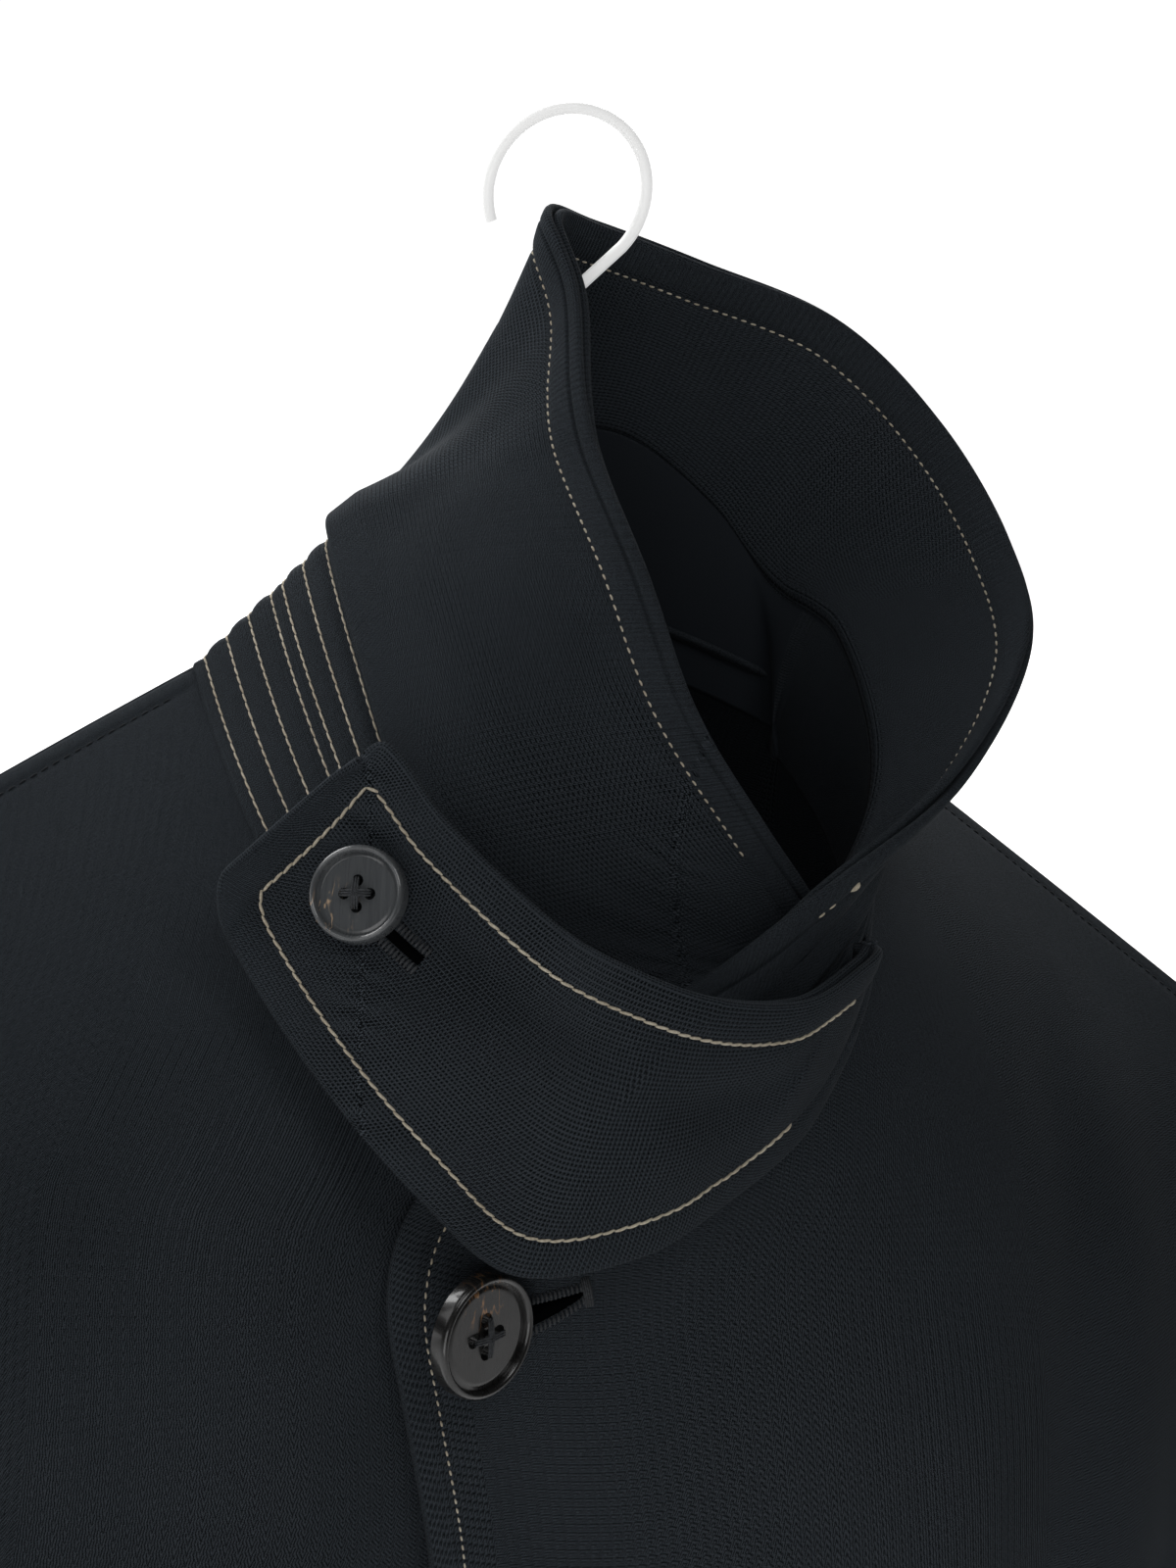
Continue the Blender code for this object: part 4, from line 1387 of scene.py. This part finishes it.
# Front holes start before their button and run past it; the first one is drawn open and rises
HOLE_BEFORE = 3
HOLE_PAST = 27
HOLE_RISE = 5

# The tab's hole by shares along and across the tab
TAB_HOLE = ((0.13, 0.46), (0.257, 0.415))
TAB_HOLE_GAP = 1.2


def lips(share, gap, opened):
    """Distances of a slit's upper and lower lips: the lower one is drawn open towards the button."""
    toward_button = np.minimum((1 - share) / OPEN_SHARE, 1) ** OPEN_POWER
    return gap + 0 * share, gap + opened * toward_button


def buttonhole(name, cloth, start, end, gap, opened, bar_threads=BAR_THREADS):
    """Slit worked with purl stitches along both lips, and a bar across its end if it has bar threads."""
    u, v = (np.linspace(start[axis], end[axis], PURL_STEPS) for axis in (0, 1))
    centres, alongs, normals = resampled(*cloth.at(u, v), PURL_PITCH)
    sides = np.cross(normals, alongs)
    upper, lower = lips(np.linspace(0, 1, len(centres)), gap, opened)
    rows = [
        (centres + sides * (upper + PURL_LENGTH / 2)[:, None], sides, normals),
        (centres - sides * (lower + PURL_LENGTH / 2)[:, None], sides, normals),
    ]
    bar = np.linspace(*BAR_REACH, bar_threads)[:, None] * alongs[-1:]
    ones = np.ones((bar_threads, 1))
    rows.append((centres[-1:] + bar, ones * sides[-1:], ones * normals[-1:]))
    places, directions, ups = (np.concatenate(column) for column in zip(*rows))
    lengths = np.concatenate((np.full(2 * len(centres), PURL_LENGTH), np.full(bar_threads, BAR_LENGTH)))
    return thread_mesh(name, places + PURL_LIFT * ups, directions, ups, lengths, PURL_THREAD, purl_thread)


def slit(name, cloth, start, end, gap, opened):
    """Sheet of painted shadow in the opening between a buttonhole's stitched lips, just proud of the cloth.
    """
    steps = SLIT_STEPS
    u, v = (np.linspace(start[axis], end[axis], steps) for axis in (0, 1))
    places, normals = cloth.at(u, v)
    alongs = unit(np.gradient(places, axis=0))
    sides = np.cross(normals, alongs)
    upper, lower = lips(np.linspace(0, 1, steps), gap, opened)
    above, below = places + sides * upper[:, None], places - sides * lower[:, None]
    lift = SLIT_LIFT * normals
    points = np.concatenate((above + lift, below + lift, below - lift, above - lift))
    faces = []
    for k in range(steps - 1):
        for band in range(4):
            low, high = band * steps, (band + 1) % 4 * steps
            faces.append((low + k, low + k + 1, high + k + 1, high + k))
    faces.append((0, steps, 2 * steps, 3 * steps))
    faces.append((4 * steps - 1, 3 * steps - 1, 2 * steps - 1, steps - 1))
    return add_mesh(name, points, faces, [painted_slit_shadow])


def share_of_front(x, z):
    """Shares on the left front at a garment x and z."""
    gap = np.hypot(left_front.middle[..., 0] - x, left_front.middle[..., 2] - z)
    j, i = np.unravel_index(np.argmin(gap), gap.shape)
    return left_front.us[i], left_front.vs[j]


for index in range(BUTTON_COUNT):
    drop = FIRST_BUTTON + BUTTON_SPACING * index
    middle = float(read(CLOSURE, "x", drop))
    rise, opened = (HOLE_RISE, DRAWN_OPEN) if index == 0 else (0, NEARLY_SHUT)
    ends = share_of_front(middle - HOLE_BEFORE, -drop), share_of_front(middle + HOLE_PAST, -drop + rise)
    keep(buttonhole(f"front_buttonhole_{index + 1}", left_front, *ends, LIP_GAP, opened), "wool_cloth")
    # Painted shadow sheet in the slit
    keep(slit(f"front_slit_shadow_{index + 1}", left_front, *ends, LIP_GAP, opened), "wool_cloth")
keep(buttonhole("tab_buttonhole", tab, *TAB_HOLE, TAB_HOLE_GAP, 0, bar_threads=0), "wool_cloth")
keep(slit("tab_slit_shadow", tab, *TAB_HOLE, TAB_HOLE_GAP, 0), "wool_cloth")


# Buttons

# How finely buttons are turned, the angle past which an edge stays sharp, and how upright a flat face is
BUTTON_SIDES = 72
HOLE_SIDES = 24
SHARP_ANGLE = math.radians(40)
UPRIGHT = 0.9

# Shares of a button's radius and thickness
HOLES = 4
HOLE_CIRCLE = 0.27
HOLE_RADIUS = 0.12
RIM_WIDTH = 0.15
RIM_HEIGHT = 0.36
RIM_STEPS = 8
RING_WIDTH = 0.05
FACE_RISE = 0.05
BACK_WIDTH = 0.08
BACK_DROP = 0.12

# Sewing-on threads
BUTTON_THREAD = 0.34
THREADS_APART = 0.55

# Shares along and across the tab over which its facing under the button is measured
TAB_PROBE = (0.02, 0.1)


def start_modelling():
    """Deselects everything, so that operators act on the new piece alone."""
    bpy.ops.object.select_all(action="DESELECT")


def select_faces(item, wanted):
    """Selects the faces of a piece in edit mode that a test picks."""
    bpy.ops.mesh.select_mode(type="FACE")
    bpy.ops.mesh.select_all(action="DESELECT")
    shape = bmesh.from_edit_mesh(item.data)
    for face in shape.faces:
        face.select_set(wanted(face))
    bmesh.update_edit_mesh(item.data)


def apply_modifier(item, kind, **settings):
    modifier = item.modifiers.new(kind.lower(), kind)
    for key, value in settings.items():
        setattr(modifier, key, value)
    bpy.context.view_layer.objects.active = item
    bpy.ops.object.modifier_apply(modifier=modifier.name)


def button_turn(normal, spin):
    """Turn from a button's own axes to its facing and spin."""
    return Vector(normal).to_track_quat("Z", "Y") @ Matrix.Rotation(spin, 3, "Z").to_quaternion()


def button(name, diameter, centre, normal, spin, horn):
    """Turned horn button: a rounded rim, a sunk ring, a flat face and four holes."""
    radius, thick = diameter / 2 * MM, BUTTON_THICK * MM
    wall = thick * (1 - RIM_HEIGHT)
    start_modelling()
    at = (0, 0, wall / 2)
    bpy.ops.mesh.primitive_cylinder_add(vertices=BUTTON_SIDES, radius=radius, depth=wall, location=at)
    item = bpy.context.object
    item.name = item.data.name = name
    bpy.ops.object.mode_set(mode="EDIT")
    select_faces(item, lambda face: face.normal.z > UPRIGHT)
    turns = np.linspace(0, math.pi, RIM_STEPS + 1)
    for before, after in zip(turns[:-1], turns[1:]):
        inwards = radius * RIM_WIDTH / 2 * (math.cos(before) - math.cos(after))
        upwards = thick * RIM_HEIGHT * (math.sin(after) - math.sin(before))
        bpy.ops.mesh.inset(thickness=inwards, depth=upwards)
    bpy.ops.mesh.inset(thickness=radius * RING_WIDTH)
    bpy.ops.mesh.inset(thickness=radius * RING_WIDTH / 2, depth=thick * FACE_RISE)
    bpy.ops.mesh.inset(thickness=radius * RING_WIDTH)
    select_faces(item, lambda face: face.normal.z < -UPRIGHT)
    bpy.ops.mesh.inset(thickness=radius * BACK_WIDTH, depth=thick * BACK_DROP)
    bpy.ops.object.mode_set(mode="OBJECT")

    start_modelling()
    cutters = []
    for index in range(HOLES):
        turn = 2 * math.pi * index / HOLES
        at = (radius * HOLE_CIRCLE * math.cos(turn), radius * HOLE_CIRCLE * math.sin(turn), thick / 2)
        bpy.ops.mesh.primitive_cylinder_add(
            vertices=HOLE_SIDES, radius=radius * HOLE_RADIUS, depth=thick * 3, location=at
        )
        cutters.append(bpy.context.object)
    for cutter in cutters:
        cutter.select_set(True)
    bpy.ops.object.join()
    cutter = bpy.context.object
    apply_modifier(item, "BOOLEAN", object=cutter)
    bpy.data.objects.remove(cutter, do_unlink=True)

    start_modelling()
    item.select_set(True)
    bpy.context.view_layer.objects.active = item
    bpy.ops.object.shade_smooth_by_angle(angle=SHARP_ANGLE)
    turned = button_turn(normal, spin)
    item.matrix_world = Matrix.Translation(metres(centre)) @ turned.to_matrix().to_4x4()
    bpy.ops.object.transform_apply(location=True, rotation=True, scale=True)
    item.data.materials.append(horn_look(name + "_horn", tuple(metres(centre)), turned.to_euler(), horn))
    return item


def button_threads(diameter, centre, normal, spin, foot):
    """Threads that cross between a button's holes, and those of its shank down to the cloth."""
    axes = np.array(button_turn(normal, spin).to_matrix()).T
    face = centre + axes[2] * BUTTON_THICK * (1 - RIM_HEIGHT + FACE_RISE)
    span = diameter * (HOLE_CIRCLE + HOLE_RADIUS / 2)
    rows = []
    for along, side in ((axes[0], axes[1]), (axes[1], axes[0])):
        for step in (-1, 0, 1):
            rows.append((face + side * step * THREADS_APART, along, axes[2], span))
    back = centre + axes[2] * BUTTON_THICK / 2
    down = foot - back
    for along in (axes[0], -axes[0], axes[1], -axes[1]):
        rows.append((back + down / 2 + along * THREADS_APART, unit(down), along, np.linalg.norm(down)))
    return rows


def front_button_place(index):
    """As for the tab button; the first front button tips as it hangs on its thread."""
    drop = FIRST_BUTTON + BUTTON_SPACING * index
    x = float(read(CLOSURE, "x", drop))
    across = on_front(x + PROBE, -drop) - on_front(x - PROBE, -drop)
    down = on_front(x, -drop - PROBE) - on_front(x, -drop + PROBE)
    normal = unit(np.cross(down, across))
    tip = FIRST_BUTTON_TIP if index == 0 else 0
    lift = PANEL_CLOTH + SEAM + BUTTON_SHANK + FRONT_BUTTON / 2 * math.sin(tip)
    facing = Matrix.Rotation(tip, 3, "Z") @ Vector(normal)
    cloth_at = on_front(x, -drop)
    return cloth_at + normal * lift, facing, 0, cloth_at


def tab_button_place():
    """Middle of the tab button's back, its facing, its spin and the cloth under it."""
    u, v = (np.array(share) for share in TAB_BUTTON_PLACE)
    beside, below = TAB_PROBE
    along = throat_tab(u + beside, v) - throat_tab(u - beside, v)
    down = throat_tab(u, v + below) - throat_tab(u, v - below)
    normal = unit(np.cross(down, along))
    cloth_at = throat_tab(u, v)
    lift = TAB_CLOTH / 2 + SEAM + BUTTON_SHANK
    return cloth_at + normal * lift, Vector(normal), TAB_BUTTON_TURN, cloth_at


# Horn: its ground's dark and light tones, its streak's colour, and where the streaks lie, in metres
Horn = namedtuple("Horn", "dark light streak spot reach")
# The tab button's grey is partly the horn's own tone and partly painted reflection of the bright
# surroundings on its glossy face
GREY_HORN_PAINTED_REFLECTION = Horn(
    dark=colour(0.072, 0.077, 0.082),
    light=colour(0.084, 0.09, 0.095),
    streak=colour(0.5, 0.36, 0.24),
    spot=(-0.0058, -0.0035, 0.0),
    reach=0.008,
)
BLACK_HORN = Horn(
    dark=colour(0.006, 0.006, 0.006),
    light=colour(0.011, 0.0105, 0.01),
    streak=colour(0.3, 0.15, 0.06),
    spot=(-0.0006, 0.0085, 0.0),
    reach=0.008,
)
buttons = {"tab_horn_button": (TAB_BUTTON, tab_button_place(), GREY_HORN_PAINTED_REFLECTION, "button_tab")}
for index in range(BUTTON_COUNT):
    row = (FRONT_BUTTON, front_button_place(index), BLACK_HORN, f"button_front_{index + 1}")
    buttons[f"front_horn_button_{index + 1}"] = row
threads = []
for name, (diameter, (centre, normal, spin, foot), horn, node) in buttons.items():
    keep(button(name, diameter, centre, normal, spin, horn), "horn_button", node)
    threads.extend(button_threads(diameter, centre, normal, spin, foot))
places, alongs, ups, lengths = (np.array(column) for column in zip(*threads))
keep(thread_mesh("button_threads", places, alongs, ups, lengths, BUTTON_THREAD, purl_thread), "wool_cloth")


# Hanger

# The hook's lower bend, and how finely the wire is turned
SWAN_RADIUS = 20
WIRE_SIDES = 20
HOOK_STEPS = 52
SWAN_STEPS = 12


def hook():
    """Wire hook: round over the rail, a straight run back and a bend into the neck."""
    turn = math.radians(HOOK_FROM)
    tip = HOOK_CENTRE + HOOK_RADIUS * spot(math.cos(turn), 0, math.sin(turn))
    start_modelling()
    bpy.ops.mesh.primitive_circle_add(vertices=WIRE_SIDES, radius=WIRE / 2 * MM, location=metres(tip))
    item = bpy.context.object
    item.name = item.data.name = "wire_hook"
    bpy.ops.object.transform_apply(location=True, rotation=True, scale=True)
    bpy.ops.object.mode_set(mode="EDIT")
    bpy.ops.mesh.select_all(action="SELECT")
    bpy.ops.transform.rotate(value=turn, orient_axis="Y", center_override=metres(tip))
    swing = math.radians(HOOK_FROM - HOOK_TO)
    bpy.ops.mesh.spin(steps=HOOK_STEPS, angle=-swing, center=metres(HOOK_CENTRE), axis=(0, 1, 0))
    turn = math.radians(HOOK_TO)
    heading = spot(math.sin(turn), 0, -math.cos(turn))
    leaves = HOOK_CENTRE + HOOK_RADIUS * spot(math.cos(turn), 0, math.sin(turn))
    back_in = SWAN_RADIUS * (1 - math.cos(turn))
    run = (leaves[0] - HOOK_CENTRE[0] - back_in) / -heading[0]
    bpy.ops.mesh.extrude_region_move(TRANSFORM_OT_translate={"value": heading * run * MM})
    bend = leaves + heading * run + SWAN_RADIUS * spot(-heading[2], 0, heading[0])
    bpy.ops.mesh.spin(steps=SWAN_STEPS, angle=-turn, center=metres(bend), axis=(0, 1, 0))
    low = leaves + heading * run - (0, 0, SWAN_RADIUS * math.sin(-turn))
    fall = spot(0, 0, ARM_FOOT + WIRE - low[2])
    bpy.ops.mesh.extrude_region_move(TRANSFORM_OT_translate={"value": fall * MM})
    bpy.ops.mesh.select_all(action="SELECT")
    bpy.ops.mesh.remove_doubles(threshold=WIRE * MM / 1000)
    bpy.ops.mesh.fill_holes(sides=0)
    bpy.ops.mesh.select_all(action="SELECT")
    bpy.ops.mesh.normals_make_consistent(inside=False)
    bpy.ops.object.mode_set(mode="OBJECT")
    bpy.ops.object.shade_smooth_by_angle(angle=SHARP_ANGLE)
    item.data.materials.append(enamel)
    return item


keep(hook(), "white_wire", "hanger_hook")
for name in ("hanger_arm_left", "hanger_arm_right", "hanger_bar"):
    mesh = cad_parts[name].data
    mesh.materials.clear()
    mesh.materials.append(enamel)


# Cut of the cloth: the loop below reads the cuts but does nothing with them

for name, cut in CUTS.items():
    [sewing[name]] if name in sewing else []


# Floor, light and camera

# The floor lies under the hem, and glows to white from the coat back to the backdrop
FLOOR_DROP = 1.1
FLOOR_SIZE = 60
BACKDROP_FROM = 0.2
BACKDROP_TO = 1.2
bpy.ops.mesh.primitive_plane_add(size=FLOOR_SIZE, location=(0, 0, -FLOOR_DROP))
floor = bpy.context.object
floor.name = "studio_floor"
floor_look = Look("pale_floor")
behind = floor_look.node("ShaderNodeSeparateXYZ", {}, {0: floor_look.place()}, output=1)
far = floor_look.step(behind, BACKDROP_FROM, BACKDROP_TO)
floor.data.materials.append(floor_look.set(
    Base_Color=colour(0.85, 0.85, 0.85),
    Roughness=0.9,
    Emission_Color=floor_look.blend(far, colour(0.25, 0.25, 0.25), colour(1, 1, 1)),
    Emission_Strength=1.1,
))

world = bpy.data.worlds.new("studio")
bpy.context.scene.world = world
world.use_nodes = True
background = world.node_tree.nodes["Background"]
background.inputs["Color"].default_value = colour(1, 1, 1)
background.inputs["Strength"].default_value = 0.03

Lamp = namedtuple("Lamp", "name place size power")
LAMPS = (
    Lamp("left_rear", (-1.4, 1.6, 1.2), 1.2, 31),
    Lamp("right_rear", (0.8, 2.2, 1.2), 2.0, 90),
    Lamp("left_side", (-2.0, 0.2, 1.0), 1.0, 4),
    Lamp("overhead", (-0.9, -0.3, 2.0), 1.0, 4.5),
    Lamp("high_front", (0.2, -1.4, 1.9), 1.0, 9),
    Lamp("low_front", (-0.9, -1.9, -0.2), 1.2, 7.2),
)
LIT_POINT = Vector((0, 0, -0.25))
for lamp in LAMPS:
    light = bpy.data.lights.new(lamp.name, "AREA")
    light.size = lamp.size
    light.energy = lamp.power
    item = bpy.data.objects.new(lamp.name, light)
    item.location = lamp.place
    item.rotation_euler = (LIT_POINT - item.location).to_track_quat("-Z", "Y").to_euler()
    bpy.context.collection.objects.link(item)

# The camera stands where the left shoulder's neck point falls on its pixel of a 1200 by 1600 picture.
AZIMUTH = math.radians(-22)
ELEVATION = math.radians(20)
ROLL = math.radians(9.5)
LENS = 75
SENSOR = 36
PICTURE = (1200, 1600)
TARGET = np.array((-85.0, 0.0, 0.0))
TARGET_PIXEL = (205, 690)
DISTANCE = 760
toward = np.array((
    math.sin(AZIMUTH) * math.cos(ELEVATION), -math.cos(AZIMUTH) * math.cos(ELEVATION), math.sin(ELEVATION)
))
level_right = np.array((math.cos(AZIMUTH), math.sin(AZIMUTH), 0))
level_up = np.array((
    -math.sin(AZIMUTH) * math.sin(ELEVATION), math.cos(AZIMUTH) * math.sin(ELEVATION), math.cos(ELEVATION)
))
rolled_right = math.cos(ROLL) * level_right + math.sin(ROLL) * level_up
rolled_up = -math.sin(ROLL) * level_right + math.cos(ROLL) * level_up
per_pixel = DISTANCE * SENSOR / (LENS * PICTURE[1])
shift_right = (TARGET_PIXEL[0] - PICTURE[0] / 2) * per_pixel
shift_up = -(TARGET_PIXEL[1] - PICTURE[1] / 2) * per_pixel
stands = TARGET + toward * DISTANCE - rolled_right * shift_right - rolled_up * shift_up
camera_data = bpy.data.cameras.new("camera")
camera_data.lens = LENS
camera_data.sensor_fit = "AUTO"
camera_data.sensor_width = SENSOR
camera_data.clip_start = 0.01
camera = bpy.data.objects.new("camera", camera_data)
axes = Matrix([rolled_right, rolled_up, toward]).transposed()
camera.matrix_world = Matrix.Translation(metres(stands)) @ axes.to_4x4()
bpy.context.collection.objects.link(camera)
bpy.context.scene.camera = camera
bpy.context.scene.view_settings.view_transform = "Standard"
